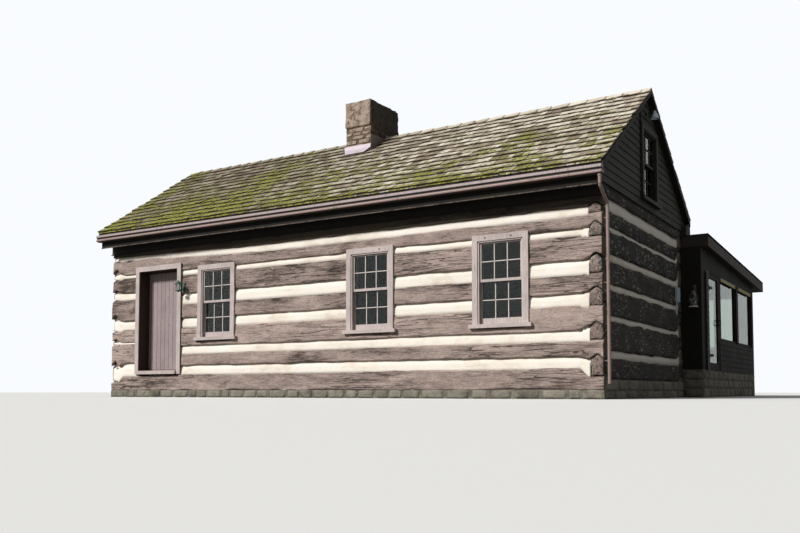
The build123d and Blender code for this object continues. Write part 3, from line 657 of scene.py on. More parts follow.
def arc(centre, radius, start, end, steps, axis=0):
    """Points of an arc, in degrees, in the plane across one axis."""
    first, second = [a for a in (0, 1, 2) if a != axis]
    points = []
    for step in range(steps + 1):
        angle = math.radians(start + (end - start) * step / steps)
        point = list(centre)
        point[first] += radius * math.cos(angle)
        point[second] += radius * math.sin(angle)
        points.append(tuple(point))
    return points


def lengths(picker, start, end, shortest, longest, rest, factor=1.0):
    """Stretches of random length from start to end, where the last is not shorter than the rest."""
    while start < end - 0.01:
        stop = start + picker.uniform(shortest, longest) * factor
        if end - stop < rest:
            stop = end
        yield start, stop
        start = stop


def rough_stone(box, picker, wave, depth, cuts=4, square=6):
    """A stone that fills a box: rounded arrises and a broken face, never outside the box."""
    low, high = (np.array(corner, float) for corner in box)
    sheet = bmesh.new()
    bmesh.ops.create_cube(sheet, size=2.0)
    bmesh.ops.subdivide_edges(sheet, edges=sheet.edges, cuts=cuts, use_grid_fill=True)
    points = np.array([tuple(vert.co) for vert in sheet.verts])
    index = {vert: number for number, vert in enumerate(sheet.verts)}
    faces = [[index[vert] for vert in face.verts] for face in sheet.faces]
    sheet.free()
    half = (high - low) / 2
    corner = np.array([picker.uniform(square, 2 * square) for _ in range(3)])
    length = (np.abs(points) ** corner).sum(axis=1) ** (1 / corner.mean())
    rounded = points / length[:, None] * half
    placed = (low + high) / 2 + rounded
    dent = 0.5 + 0.5 * wave(placed, 13.0)
    chip = 0.5 + 0.5 * wave(placed + 5.0, 37.0)
    shrink = 1 - (dent * 0.7 + chip * 0.3) * depth / half.min()
    return (low + high) / 2 + rounded * shrink[:, None], faces, {"tone": picker.random()}


def stone_row(picker, wave, along, stretches, spans, depth):
    """Stones in a row along one axis, with narrow joints between them."""
    row = []
    for at, stop in stretches:
        box = spanned({along: (at + 0.004, stop - 0.004), **spans})
        row.append(rough_stone(box, picker, wave, depth))
    return row


def hewn_log(mesh, voxel, axis, seed):
    """A log with wavy hewn faces, rough arrises and shallow axe facets."""
    points, normals, faces = remeshed(mesh, voxel)
    wave = Waves(seed)
    facet = per_axis(axis, 3.2, 9.0)
    upward = normals[:, 2]
    swell = wave(points, per_axis(axis, 0.8, 2.6)) * 0.012
    chop = wave(points + 3.7, facet) * 0.009
    split = wave(points + 9.1, per_axis(axis, 9.0, 34.0)) * 0.005
    bite = np.clip(wave(points + 7.9, facet) - 0.25, 0, 1) * np.where(upward > 0.3, 0.045, 0.0)
    edge = np.abs(upward) * wave(points + 5.3, facet) * 0.016 - bite
    limit = np.where(np.abs(normals[:, 1 - axis]) > 0.7, 0.006, 0.02)
    offset = np.clip(swell + chop + split + edge - 0.004, -0.03, limit)
    return points + normals * offset[:, None], faces


def at_left_corner(points):
    """The courses beside the door lie at other heights than in the rest of the house."""
    x, y, z = points.T
    shift = np.interp(z, JOINTS_ELSEWHERE, JOINTS_BESIDE_DOOR) - z
    door_left, door_right, door_head, end_over_door = -4.1, -3.1, 2.45, -1.0
    fade_end = np.where(z > door_head, end_over_door, door_right)
    near_door = np.clip((fade_end - x) / (fade_end - door_left), 0, 1)
    near_front = np.clip((WALL_BACK - y) / (WALL_BACK - WALL_FRONT), 0, 1)
    points[:, 2] += shift * near_door * near_front
    return points


def log_piece(node, voxel, axis, finish, seed):
    """The hewn logs of one CAD node, each with its own tone."""
    parts = []
    picker = random.Random(seed)
    front_ends, set_in = WALL_FRONT + 0.03, 0.042
    for number, solid in enumerate(node_solids(node)):
        points, faces = hewn_log(solid, voxel, axis, seed * 40 + number)
        points = at_left_corner(points)
        if node == "left_wall_logs":
            points[points[:, 1] < front_ends, 1] += set_in
        parts.append((points, faces, {"tone": picker.random()}))
    piece = joined_piece(node + "_hewn", parts)
    piece.data.shade_smooth()
    dress(piece, finish, node)


def mortar_strip(mesh, voxel, axis, outward, seed):
    """A strip of mortar that runs in behind the log above and swells to the log below."""
    points, normals, faces = remeshed(mesh, voxel)
    run = points[:, axis]
    bins = ((run - run.min()) / 0.06).astype(int)
    low = np.full(bins.max() + 1, 99.0)
    high = np.full(bins.max() + 1, -99.0)
    np.minimum.at(low, bins, points[:, 2])
    np.maximum.at(high, bins, points[:, 2])
    rise = (points[:, 2] - low[bins]) / np.maximum(high[bins] - low[bins], 1e-3)
    wave = Waves(seed)
    wobble = wave(points, (2.2, 2.2, 7.0)) * 0.004 + wave(points + 4.0, (9.0, 9.0, 15.0)) * 0.0025
    facing = normals[:, 1 - axis] * outward > 0.5
    setback = np.where(facing, 0.012 * (1 - rise) - 0.20 * np.clip(rise - 0.76, 0, 1), 0.0)
    points[:, 1 - axis] += outward * (setback + wobble)
    points[:, 2] += np.where(normals[:, 2] > 0.5, 0.03, 0) - np.where(normals[:, 2] < -0.5, 0.03, 0)
    return points, faces, rise


def mortar_piece(node, voxel, axis, seed):
    """The mortar strips of one CAD node; the front ones reach the left corner."""
    front_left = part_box("front_chinking")[0].x
    end_depth = 0.012
    middle = ((WALL_LEFT + WALL_RIGHT) / 2, RIDGE_Y)[1 - axis]
    parts = []
    for number, solid in enumerate(node_solids(node)):
        centre = sum(vert.co[1 - axis] for vert in solid.vertices) / len(solid.vertices)
        outward = -1 if centre < middle else 1
        points, faces, rise = mortar_strip(solid, voxel, axis, outward, seed * 40 + number)
        if node == "front_chinking":
            points[points[:, 0] < front_left + end_depth, 0] -= front_left - WALL_LEFT - end_depth
        parts.append((at_left_corner(points), faces, {"rise": rise}))
    piece = joined_piece(node + "_trowelled", parts)
    piece.data.shade_smooth()
    dress(piece, "mortar", node)


def log_walls():
    fine = 0.028
    front = ("sill_log", "logs_left_of_door", "low_logs", "logs_between_windows", "head_log")
    for seed, node in enumerate(front, start=1):
        log_piece("front_" + node, fine, 0, "logs_x", seed)
    log_piece("front_plate_log", fine, 0, "plate", 6)
    log_piece("right_wall_logs", 0.030, 1, "logs_y", 8)
    log_piece("left_wall_logs", 0.036, 1, "logs_y", 9)
    log_piece("back_wall_logs", 0.040, 0, "logs_x", 10)
    mortar_piece("front_chinking", fine, 0, 11)
    mortar_piece("back_chinking", 0.045, 0, 12)
    mortar_piece("gable_chinking", 0.034, 1, 13)


def growing_tree(name, sizes):
    """A geometry tree with named number inputs and a mesh output, and a field for each input."""
    tree = bpy.data.node_groups.new(name, "GeometryNodeTree")
    tree.interface.new_socket("Geometry", in_out="OUTPUT", socket_type="NodeSocketGeometry")
    entry = tree.nodes.new("NodeGroupInput")
    for label, value in sizes.items():
        kind = "NodeSocketInt" if isinstance(value, int) else "NodeSocketFloat"
        tree.interface.new_socket(label, in_out="INPUT", socket_type=kind)
    return tree, {label: Field(tree, entry.outputs[label]) for label in sizes}


def grown(name, tree, sizes, result, material):
    """The tree's mesh as a plain piece: instances realized, material set, modifier gone."""
    real = result.make("GeometryNodeRealizeInstances", None, {"Geometry": result})
    done = result.make("GeometryNodeSetMaterial", None, {"Geometry": real, "Material": material})
    tree.links.new(done.socket, tree.nodes.new("NodeGroupOutput").inputs["Geometry"])
    holder = new_piece(name + "_work", bpy.data.meshes.new(name + "_work"))
    modifier = holder.modifiers.new("grow", "NODES")
    modifier.node_group = tree
    for item in tree.interface.items_tree:
        if item.in_out == "INPUT":
            modifier[item.identifier] = sizes[item.name]
    holder.update_tag()
    mesh = bpy.data.meshes.new_from_object(holder.evaluated_get(bpy.context.evaluated_depsgraph_get()))
    bpy.data.objects.remove(holder)
    return new_piece(name, mesh)


def shakes(node, eave_y, turn, seed):
    """Courses of split shakes on one slope, laid from the eave to the ridge."""
    run = abs(RIDGE_Y - eave_y)
    sizes = {
        "Roof Length": roof_high.x - roof_low.x,
        "Slope Length": run * math.hypot(1, SLOPE),
        "Courses": 15,
        "Shakes per Course": 82,
        "Butt Thickness": 0.023,
        "Seed": seed,
    }
    tree, size = growing_tree(node + "_shakes", sizes)
    start = Field(tree)
    roof_length, per_course = size["Roof Length"], size["Shakes per Course"]
    exposure = size["Slope Length"] / size["Courses"]
    width = roof_length / (per_course - 3)
    index = start.make("GeometryNodeInputIndex")
    row = (index / per_course).floor()
    column = index - row * per_course

    def chance(reach, extra, identity=index, low=None):
        inputs = {2: -reach if low is None else low, 3: reach, 7: identity, 8: size["Seed"] + extra}
        return start.make("FunctionNodeRandomValue", {"data_type": "FLOAT"}, inputs, output=1)

    def stored(geometry, name, value):
        settings = {"data_type": "FLOAT", "domain": "POINT"}
        inputs = {"Geometry": geometry, "Name": name, "Value": value}
        return start.make("GeometryNodeStoreNamedAttribute", settings, inputs)

    def moved(geometry, position):
        return start.make("GeometryNodeSetPosition", None, {"Geometry": geometry, "Position": position})

    left = chance(0.38, 1)
    right = chance(0.38, 1, index + 1)
    x = (column + left + (row * 0.5).fraction() * 0.9 - 1.5) * width
    wide = (1.0 + right - left) * width - 0.006
    wander = (start.vector(x, row * 3.7, 0.0).noise(0.8, 2.0, 0.5) - 0.5) * 0.05
    spot = start.vector(x, row * exposure + chance(0.014, 2) + wander, 0.0)
    inputs = {"Count": size["Courses"] * per_course, "Position": spot}
    points = stored(start.make("GeometryNodePoints", None, inputs), "tone", chance(1.0, 3, low=0.0))

    inputs = {"Size": (1.0, 1.0, 1.0), "Vertices X": 3, "Vertices Y": 4, "Vertices Z": 2}
    shake = start.make("GeometryNodeMeshCube", None, inputs)
    local = start.make("GeometryNodeInputPosition")
    up = local.axis("Y") + 0.5
    thick = (local.axis("Z") + 0.5) * (1.0 - up * 0.6) + (1.0 - up) * 0.55
    shake = moved(shake, start.vector(local.axis("X") + 0.5, up, thick))
    shake = stored(shake, "butt", 1.0 - local.axis("Y"))

    depth = exposure * 1.35 + chance(0.01, 4)
    stretch = start.vector(wide, depth, size["Butt Thickness"] + chance(0.005, 5, low=-0.004))
    twist = start.vector(chance(0.012, 6), chance(0.02, 7), chance(0.02, 8))
    inputs = {"Points": points, "Instance": shake, "Rotation": twist, "Scale": stretch}
    laid = start.make("GeometryNodeInstanceOnPoints", None, inputs)
    beyond = start.math("MAXIMUM", (x + wide) < 0.02, x > (roof_length - 0.02))
    inputs = {"Geometry": laid, "Selection": beyond}
    kept = start.make("GeometryNodeDeleteGeometry", {"domain": "INSTANCE"}, inputs)
    real = start.make("GeometryNodeRealizeInstances", None, {"Geometry": kept})
    place = start.make("GeometryNodeInputPosition")
    inside_x = place.axis("X").between(0.0, roof_length)
    inside_y = place.axis("Y").between(0.0, size["Slope Length"])
    rough = (place.noise(9.0, 3.0, 0.6) - 0.5) * 0.009
    trimmed = moved(real, start.vector(inside_x, inside_y, place.axis("Z") + rough))

    piece = grown(node + "_shakes", tree, sizes, trimmed, FINISH["shakes"])
    lie = Matrix.Translation((roof_low.x, RIDGE_Y + turn * run, RIDGE_Z - run * SLOPE))
    if turn > 0:
        lie = lie @ Matrix.Translation((sizes["Roof Length"], 0, 0)) @ Matrix.Rotation(math.pi, 4, "Z")
    pitch = math.atan(SLOPE - RIDGE_SAG / ROOF_RUN)
    piece.data.transform(lie @ Matrix.Rotation(pitch, 4, "X") @ Matrix.Translation((0, 0, -0.012)))
    dress(piece, None, node)


def roof_deck(node, eave_y):
    """The boarding under the shakes: the slab with its upper face lowered and its eave set back."""
    drop = 0.020
    setback = 0.024 if eave_y < RIDGE_Y else -0.024

    def cut(point):
        if abs(point.z - (RIDGE_Z - SLOPE * abs(point.y - RIDGE_Y))) < 0.002:
            point.z = shake_level(point.y) - drop
        if abs(point.y - eave_y) < 0.002:
            point.y += setback

    recut(node, node + "_deck", "trim_dark", cut)


def ridge_boards():
    """Two rows of short cap boards, lapped end to end along the ridge."""
    picker = random.Random(61)
    wide = 0.13
    section = ((0.0, 0.0), (wide, -SLOPE * wide), (wide + 0.014, 0.022 - SLOPE * wide), (0.006, 0.024))
    # Butt 1.0 on the lower edges gives them the shakes' painted shade.
    butt = np.array([0.6, 1.0, 1.0, 0.6] * 2)
    parts = []
    for side in (-1, 1):
        at = roof_low.x + 0.01
        while at < roof_high.x - 0.05:
            stop = min(at + picker.uniform(0.27, 0.37), roof_high.x - 0.005)
            outlines = []
            for x, lift in ((at, 0.000), (stop, 0.020)):
                top = shake_level(RIDGE_Y) - 0.012 + lift + (0.005 if side > 0 else 0.0)
                outlines.append([(x, RIDGE_Y + side * out, top + up) for out, up in section])
            points, faces, _ = skinned(*outlines)
            parts.append((points, faces, {"tone": picker.uniform(0.5, 1.0), "butt": butt}))
            at = stop - 0.03
    made("ridge_boards", parts, "shakes")


def starter_course(node, eave_y, turn):
    """The short shakes that lie under the first course at the eave."""
    picker = random.Random(node)
    parts = []
    at = roof_low.x + 0.006
    while at < roof_high.x - 0.04:
        stop = min(at + picker.uniform(0.09, 0.17), roof_high.x - 0.006)
        edge = eave_y + turn * picker.uniform(-0.012, -0.002)
        inner = edge - turn * 0.2
        drops = ((edge, 0.027), (edge, 0.004), (inner, 0.008), (inner, 0.022))
        outline = [(y, shake_level(y) - drop) for y, drop in drops]
        points, faces, _ = prism(outline, 0, at + 0.002, stop - 0.002)
        parts.append((points, faces, {"tone": picker.uniform(0.1, 0.9), "butt": 0.6}))
        at = stop
    made(node + "_starter", parts, "shakes")


def roof():
    ridge_boards()
    for node, eave_y, turn, seed in (("front_roof", EAVE_FRONT, -1, 5), ("back_roof", EAVE_BACK, 1, 17)):
        shakes(node, eave_y, turn, seed)
        roof_deck(node, eave_y)
        starter_course(node, eave_y, turn)


def clapboards(node, outward, seed):
    """Lapped boards on a gable, cut to the slopes and round the window, on a set-back backing."""
    low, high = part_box(node)
    face = high.x if outward > 0 else low.x
    butt = 0.019
    thin = 0.006
    exposure = 0.115

    def cut(point):
        if abs(point.x - face) < 0.001:
            point.x -= outward * butt

    recut(node, node + "_backing", "trim_dark", cut)
    frames = solid_boxes("window_frames")
    frame_low, frame_high = next(pair for pair in frames if pair[0][0] < face < pair[1][0])
    ear = 0.053
    sill_top = frame_low[2] + 0.057
    middle = (frame_low[1] + frame_high[1]) / 2
    frame_half = (frame_high[1] - frame_low[1]) / 2
    inner = face - outward * butt

    def board_end(level, thick, left, right):
        """A board's outline at one height, to the slopes or to where it stops at the window."""
        reach = min(max((high.z - level) / SLOPE, 0.0), BOXED_HALF)
        y_left = RIDGE_Y - reach if left is None else left
        y_right = RIDGE_Y + reach if right is None else right
        outer = inner + outward * thick
        corners = ((inner, y_left), (outer, y_left), (outer, y_right), (inner, y_right))
        return [(x, y, level) for x, y in corners]

    picker = random.Random(seed)
    parts = []
    z = low.z
    while z < high.z - 0.02:
        top = min(z + exposure, high.z - 0.004)
        tone = picker.random()
        breaks = (frame_low[2], sill_top, frame_high[2])
        stops = sorted({z, top, *(level for level in breaks if z < level < top)})
        for start, end in zip(stops, stops[1:]):
            centre = (start + end) / 2
            spans = [(None, None)]
            if frame_low[2] < centre < frame_high[2]:
                half = frame_half - (ear if centre > sill_top else 0.0)
                spans = [(None, middle - half), (middle + half, None)]
            for span in spans:
                bottom, cap = (
                    board_end(level, butt - (butt - thin) * (level - z) / exposure, *span)
                    for level in (start, end)
                )
                if cap[2][1] > cap[1][1]:
                    parts.append(skinned(bottom, cap, tone))
        z += exposure
    made(node + "_laps", parts, "clapboards", node)
    # A near-black upright strip beside the window, from the sill up to the rake: painted shadow.
    edges = (middle - frame_half + ear, middle - frame_half + ear - 0.034)
    outline = [(y, sill_top) for y in reversed(edges)] + [(y, shake_level(y) - 0.10) for y in edges]
    span = sorted((face - outward * 0.01, face + outward * 0.012))
    made(node + "_upright", [prism(outline, 0, *span)], "sunroom")


def window_muntins():
    """Glazing bars, three panes wide and two high in each sash, set on the panes of the frame."""
    wide = 0.013
    deep = 0.012
    parts = []
    for low, high in solid_boxes("window_glass"):
        along, thin = wall_axes(low, high)
        middle = (low[thin] + high[thin]) / 2
        for axis, share in ((along, 1 / 3), (along, 2 / 3), (2, 1 / 2)):
            centre = low[axis] + share * (high[axis] - low[axis])
            spans = {axis: (centre - wide / 2, centre + wide / 2), thin: (middle - deep, middle + deep)}
            parts.append(block(*spanned(spans, low, high)))
    made("window_muntins", parts, "muntins")


def window_stops():
    """Outer stops at the sides and the head of each pair of sashes."""
    wide = 0.022
    pairs = {}
    for low, high in solid_boxes("window_sashes"):
        key = (round((low[0] + high[0]) / 2, 0), round((low[1] + high[1]) / 2, 0))
        pair_low, pair_high = pairs.get(key, (low, high))
        pairs[key] = (np.minimum(low, pair_low), np.maximum(high, pair_high))
    parts = []
    for low, high in pairs.values():
        along, thin = wall_axes(low, high)
        middle = (low[thin] + high[thin]) / 2
        outward = -1 if middle < (RIDGE_Y if thin == 1 else 0) else 1
        face = low[thin] if outward < 0 else high[thin]
        depth = (face + outward * 0.030, face + outward * 0.001)
        sides = ((along, low[along], wide), (along, high[along], -wide), (2, high[2], -wide))
        for axis, edge, inward in sides:
            parts.append(block(*spanned({thin: depth, axis: (edge, edge + inward)}, low, high), 0.6))
    made("window_stops", parts, "casing", bevel=0.002)


def casing_plugs():
    """Small dark plugs in the head casings of two front windows."""
    front = [pair for pair in solid_boxes("window_frames") if pair[1][1] < 0]
    front.sort(key=lambda pair: pair[0][0])
    y = WALL_FRONT - 0.026
    parts = []
    for (low, high), places in ((front[2], (-0.235, 0.19)), (front[1], (0.2,))):
        for place in places:
            x = (low[0] + high[0]) / 2 + place
            foot = (x - 0.011, y - 0.002, high[2] - 0.058)
            parts.append(block(foot, (x + 0.011, y + 0.01, high[2] - 0.036)))
    made("casing_plugs", parts, "iron")


def door_planks():
    """Nine upright boards with open joints on the front of the door leaf."""
    low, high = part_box("front_door")
    face = -1.952
    left, right = -4.040, -3.044
    count = 9
    width = (right - left) / count
    picker = random.Random(41)
    parts = []
    for number in range(count):
        start = left + number * width + 0.002
        thick = 0.007 + picker.uniform(0, 0.002)
        foot = (start, face - thick, low.z + 0.012)
        head = (start + width - 0.004, face + 0.001, high.z - 0.022)
        parts.append(block(foot, head, picker.random()))
    made("front_door_planks", parts, "door", body="front_door_leaf", bevel=0.003)


def gutter():
    """A sheet gutter with a tall flat lip, a groove, a bead and an ogee foot, and end caps."""
    back, front = gutter_high.y, gutter_low.y
    start, end = gutter_low.x, gutter_high.x + 0.066
    sheet = 0.003
    rear_top = gutter_high.z - 0.004
    lip = GUTTER_LIP - GUTTER_BOTTOM
    outer = (
        (0.040, 0.0), (0.016, 0.006), (0.006, 0.016), (0.002, 0.032), (0.006, 0.048), (0.020, 0.054),
        (0.020, 0.077), (0.0, 0.081), (0.0, lip - 0.004), (0.004, lip), (0.016, lip),
    )
    inner = (
        (0.016, lip - sheet), (sheet, lip - sheet - 0.002), (sheet, 0.083), (0.023, 0.079), (0.023, 0.052),
        (0.009, 0.046), (0.005, 0.032), (0.009, 0.018), (0.018, 0.011), (0.041, sheet),
    )
    profile, lining = ([(front + out, GUTTER_BOTTOM + up) for out, up in side] for side in (outer, inner))
    profile = [(back, rear_top), (back, GUTTER_BOTTOM)] + profile
    lining += [(back - sheet, GUTTER_BOTTOM + sheet), (back - sheet, rear_top)]
    parts = [prism(profile + lining, 0, start, end)]
    parts += [prism(profile, 0, place, place + sheet) for place in (start, end - sheet)]
    made("front_gutter_sheet", parts, "gutter", "front_gutter")


def downspout():
    """A slim pipe with its outlet and bends, held to the corner by three straps."""
    low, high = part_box("downspout")
    radius = 0.024
    sides = 14
    top_x = gutter_high.x + 0.022
    low_x = high.x - 0.022
    front_y = (gutter_low.y + gutter_high.y) / 2
    wall_y = high.y - 0.037
    bends = (
        (top_x, front_y, 0.004), (top_x, front_y, -0.128), (top_x, front_y + 0.012, -0.153),
        (low_x, wall_y - 0.015, -0.323), (low_x, wall_y, -0.353),
    )
    path = [(x, y, GUTTER_BOTTOM + z) for x, y, z in bends] + [(low_x, wall_y, low.z + 0.03)]
    collar = upright(top_x, front_y, GUTTER_BOTTOM + 0.003, GUTTER_BOTTOM - 0.030)
    parts = [tube(path, radius, sides), tube(collar, radius + 0.006, sides)]
    for z in (GUTTER_BOTTOM - 0.54, (low.z + high.z) / 2, low.z + 0.35):
        parts.append(tube(upright(low_x, wall_y, z - 0.016, z + 0.016), radius + 0.0025, sides, 0.3))
        foot = (WALL_RIGHT - 0.02, wall_y - 0.004, z - 0.004)
        parts.append(block(foot, (low_x, wall_y + 0.004, z + 0.004), 0.3))
    made("downspout_pipe", parts, "downspout", "downspout")


def eave_boards():
    """A fascia board that hangs below the soffit, its moulding, one on the frieze, and the back return."""
    low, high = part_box("eave_boxes")
    soffit = gutter_low.z - 0.034
    hang = soffit - 0.078
    bead = block((low.x, low.y - 0.014, hang - 0.004), (high.x, low.y + 0.002, hang + 0.014))
    board = block((low.x, low.y - 0.004, hang), (high.x, low.y + 0.018, soffit + 0.05))
    frieze = block((low.x, WALL_FRONT - 0.034, low.z - 0.002), (high.x, WALL_FRONT - 0.020, low.z + 0.016))
    made("fascia_moulding", [bead], "bead", bevel=0.003)
    # The fascia board and the frieze take the near-black sunroom finish as painted shade under the gutter
    # and the eave.
    made("eave_boards", [board, frieze], "sunroom", bevel=0.003)
    start, end = WALL_BACK - 0.03, EAVE_BACK - 0.006
    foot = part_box("sunroom_roof")[1].z - 0.006
    outline = [(start, foot), (start, foot + 0.14), (end, shake_level(end) - 0.03), (end, foot)]
    gable_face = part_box("right_gable_boards")[1].x
    returned = prism(outline, 0, gable_face - 0.02, roof_high.x - 0.012)
    made("back_eave_return", [returned], "trim_dark")


def chimney():
    """Rubble courses under one rough block a side, round a mortar core, with an uneven crown."""
    low, high = stack_low, stack_high

    def cut(point):
        for axis in (0, 1):
            if abs(abs(point[axis]) - high[axis]) < 0.002:
                point[axis] *= (high[axis] + 0.012) / high[axis]
        if point.z > high.z - 0.002:
            point.z -= 0.035

    recut("chimney_stack", "chimney_core", "chimney_joints", cut)
    picker = random.Random(77)
    wave = Waves(78)
    wall = 0.15
    bulge = 0.042
    levels = [4.45, 4.60, 4.74, 4.84, 4.93, 5.01, 5.075, 5.165, high.z - 0.006]
    # Joint, unevenness, length factor, overhang, and the roughness of a stone
    rubble = (0.004, 0.014, 1.0, 0.7, (0.008, 6, 8))
    crown_block = (0.001, 0.005, 8.0, 0.96, (0.012, 12, 24))
    parts = []
    for course, (z, top) in enumerate(zip(levels, levels[1:])):
        crown = top == levels[-1]
        joint, unevenness, stretch, overhang, roughness = crown_block if crown else rubble
        for side in (-1, 1):
            for across in (0, 1):
                along = 1 - across
                inset = wall if not crown and (course + across) % 2 else 0.0
                start = low[along] - bulge * overhang + inset
                end = high[along] + bulge * overhang - inset
                for at, stop in lengths(picker, start, end, 0.15, 0.32, 0.14, stretch):
                    stone_top = top - (picker.uniform(0.0, 0.022) if crown else joint)
                    outer = high[across] + bulge - picker.uniform(0.0, unevenness)
                    spans = {along: (at + joint, stop - joint), 2: (z + joint, stone_top)}
                    spans[across] = (side * (high[across] - wall), side * outer)
                    parts.append(rough_stone(spanned(spans), picker, wave, *roughness))
    made("chimney_stones", parts, "chimney", "chimney_stack", smooth=True)


def chimney_flashings():
    """Front and back aprons bent out over the shakes, and a level-topped sheet on each side."""
    low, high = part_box("chimney_flashing")
    parts = []
    for turn, wall in ((-1, low.y), (1, high.y)):
        foot_y = wall + turn * 0.080
        foot_z = shake_level(foot_y) + 0.020
        bend_z = shake_level(wall) + 0.034
        faces = []
        for offset in (0.040, 0.044):
            rows = (
                (-0.026, 0.038, wall + turn * offset, bend_z + 0.10),
                (-0.016, 0.030, wall + turn * (offset + 0.006), bend_z + 0.03),
                (0.040, -0.070, foot_y + turn * offset, foot_z),
            )
            head, bend, foot = ([(low.x + left, y, z), (high.x + right, y, z)] for left, right, y, z in rows)
            faces.append((head + bend[::-1], bend + foot[::-1]))
        parts += [skinned(inner, outer) for inner, outer in zip(*faces)]
    made("chimney_aprons", parts, "flashing")
    sides = []
    for side in (-1, 1):
        rise = 0.35 if side > 0 else 0.12
        span = sorted((side * (high.x + 0.030), side * (high.x + 0.036)))
        for turn, wall in ((-1, low.y - 0.038), (1, high.y + 0.038)):
            foot_z = shake_level(wall)
            reach = wall - turn * rise * 1.5
            outline = [(wall, foot_z - 0.04), (wall, foot_z + rise), (reach, foot_z + rise + 0.01)]
            outline += [(reach, shake_level(reach) - 0.03)]
            sides.append(prism(outline, 0, *span))
    made("chimney_side_sheets", sides, "flashing_side", "chimney_flashing")


def footing():
    """Fieldstones laid along the walls, over a mortar core that is set back."""
    low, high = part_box("foundation")
    setback = 0.022
    depth = 0.17

    def cut(point):
        for axis in (0, 1):
            if abs(point[axis] - low[axis]) < 0.002:
                point[axis] += setback
            elif abs(point[axis] - high[axis]) < 0.002:
                point[axis] -= setback

    recut("foundation", "footing_core", "footing", cut)
    picker = random.Random(91)
    wave = Waves(92)
    parts = []
    for across, levels, stretch in ((0, (0.0, 0.120, 0.280), 1.7), (1, (0.0, 0.140), 1.0)):
        along = 1 - across
        for face, inward in ((low[across], depth), (high[across], -depth)):
            for bottom, top in zip(levels, levels[1:]):
                stretches = lengths(picker, low[along], high[along], 0.18, 0.46, 0.16, stretch)
                spans = {across: (face, face + inward), 2: (bottom, top)}
                parts += stone_row(picker, wave, along, stretches, spans, 0.014)
    made("footing_stones", parts, "footing", "foundation", smooth=True)


def sunroom_base():
    """Rough stones on the outer faces of the sunroom's base."""
    low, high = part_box("sunroom_floor")
    picker = random.Random(95)
    wave = Waves(96)
    levels = (0.0, 0.17, 0.33, 0.492)
    courses = [(bottom + 0.003, top - 0.003) for bottom, top in zip(levels, levels[1:])]
    proud = 0.016
    parts = []
    for across, outward, face in ((0, 1, high.x), (0, -1, low.x), (1, 1, high.y)):
        along = 1 - across
        depth = (face - outward * 0.05, face + outward * proud)
        start = low[along] + (0.03 if along == 1 else 0.0)
        for course in courses:
            stretches = lengths(picker, start, high[along], 0.25, 0.62, 0.2)
            parts += stone_row(picker, wave, along, stretches, {across: depth, 2: course}, 0.010)
    for course in courses:
        spans = {0: (WALL_RIGHT + 0.01, high.x + 0.01), 1: (low.y - proud, low.y + 0.05), 2: course}
        parts.append(rough_stone(spanned(spans), picker, wave, 0.010))
    made("sunroom_base_stones", parts, "footing", smooth=True)


def sunroom_head_trims():
    """A pale strip over each window on the sunroom's side."""
    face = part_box("sunroom_side_frame")[1].x
    side_panes = 5.4
    parts = []
    for low, high in solid_boxes("sunroom_glass"):
        if low[0] > side_panes:
            foot = (face - 0.002, low[1] - 0.01, high[2] - 0.004)
            parts.append(block(foot, (face + 0.004, high[1] - 0.06, high[2] + 0.065)))
    made("sunroom_head_trims", parts, "head_trim")


def sunroom_siding():
    """Lapped boards on the plain parts of the sunroom's walls."""
    floor_low, floor_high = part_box("sunroom_floor")
    side_low, side_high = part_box("sunroom_side_frame")
    base = floor_high.z
    knee = 1.10
    exposure = 0.105
    corner_start, corner_end, left_start = 2.60, 2.79, 2.44
    side_end = side_high.y - 0.1

    def laps(axis, start, end, top, face, outward=1):
        """Boards along one axis, from the base up, that lean out from a wall's face."""
        boards = []
        z = base
        while z < top - 0.01:
            stop = min(z + exposure, top)
            outline = [(face, z), (face + outward * 0.013, z), (face + outward * 0.004, stop), (face, stop)]
            boards.append(prism(outline, axis, start, end, (z * 7.3) % 1))
            z = stop
        return boards

    return_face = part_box("sunroom_return_wall")[1].x
    corner = laps(1, corner_start, corner_end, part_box("sunroom_header")[0].z, return_face)
    made("sunroom_corner_laps", corner, "sunroom_edge")
    sides = laps(1, side_low.y + 0.02, side_end, knee, floor_high.x)
    sides += laps(1, left_start, side_end, knee, floor_low.x, -1)
    made("sunroom_side_laps", sides, "sunroom")
    rear = laps(0, floor_low.x + 0.1, floor_high.x - 0.1, knee, floor_high.y)
    made("sunroom_rear_laps", rear, "sunroom")


def sunroom_covering():
    """A metal drip edge round the sunroom roof and battens over the seams of its covering."""
    low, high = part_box("sunroom_roof")
    fall = 0.043
    edge = 0.012
    seams = 7

    def level(y):
        return high.z - fall * (y - low.y)

    ends = (low.y, high.y)
    outline = [(y, level(y) - 0.045) for y in ends] + [(y, level(y) + 0.004) for y in reversed(ends)]
    parts = [prism(outline, 0, x, x + edge) for x in (low.x, high.x - edge)]
    foot = (low.x, high.y - edge, level(high.y) - 0.045)
    parts.append(block(foot, (high.x, high.y, level(high.y) + 0.004)))
    for number in range(1, seams):
        y = low.y + (high.y - low.y) * number / seams
        foot = (low.x + edge, y - 0.05, level(y) - 0.01)
        parts.append(block(foot, (high.x - edge, y + 0.05, level(y) + 0.004)))
    made("sunroom_roof_edge", parts, "sunroom_edge", bevel=0.002)


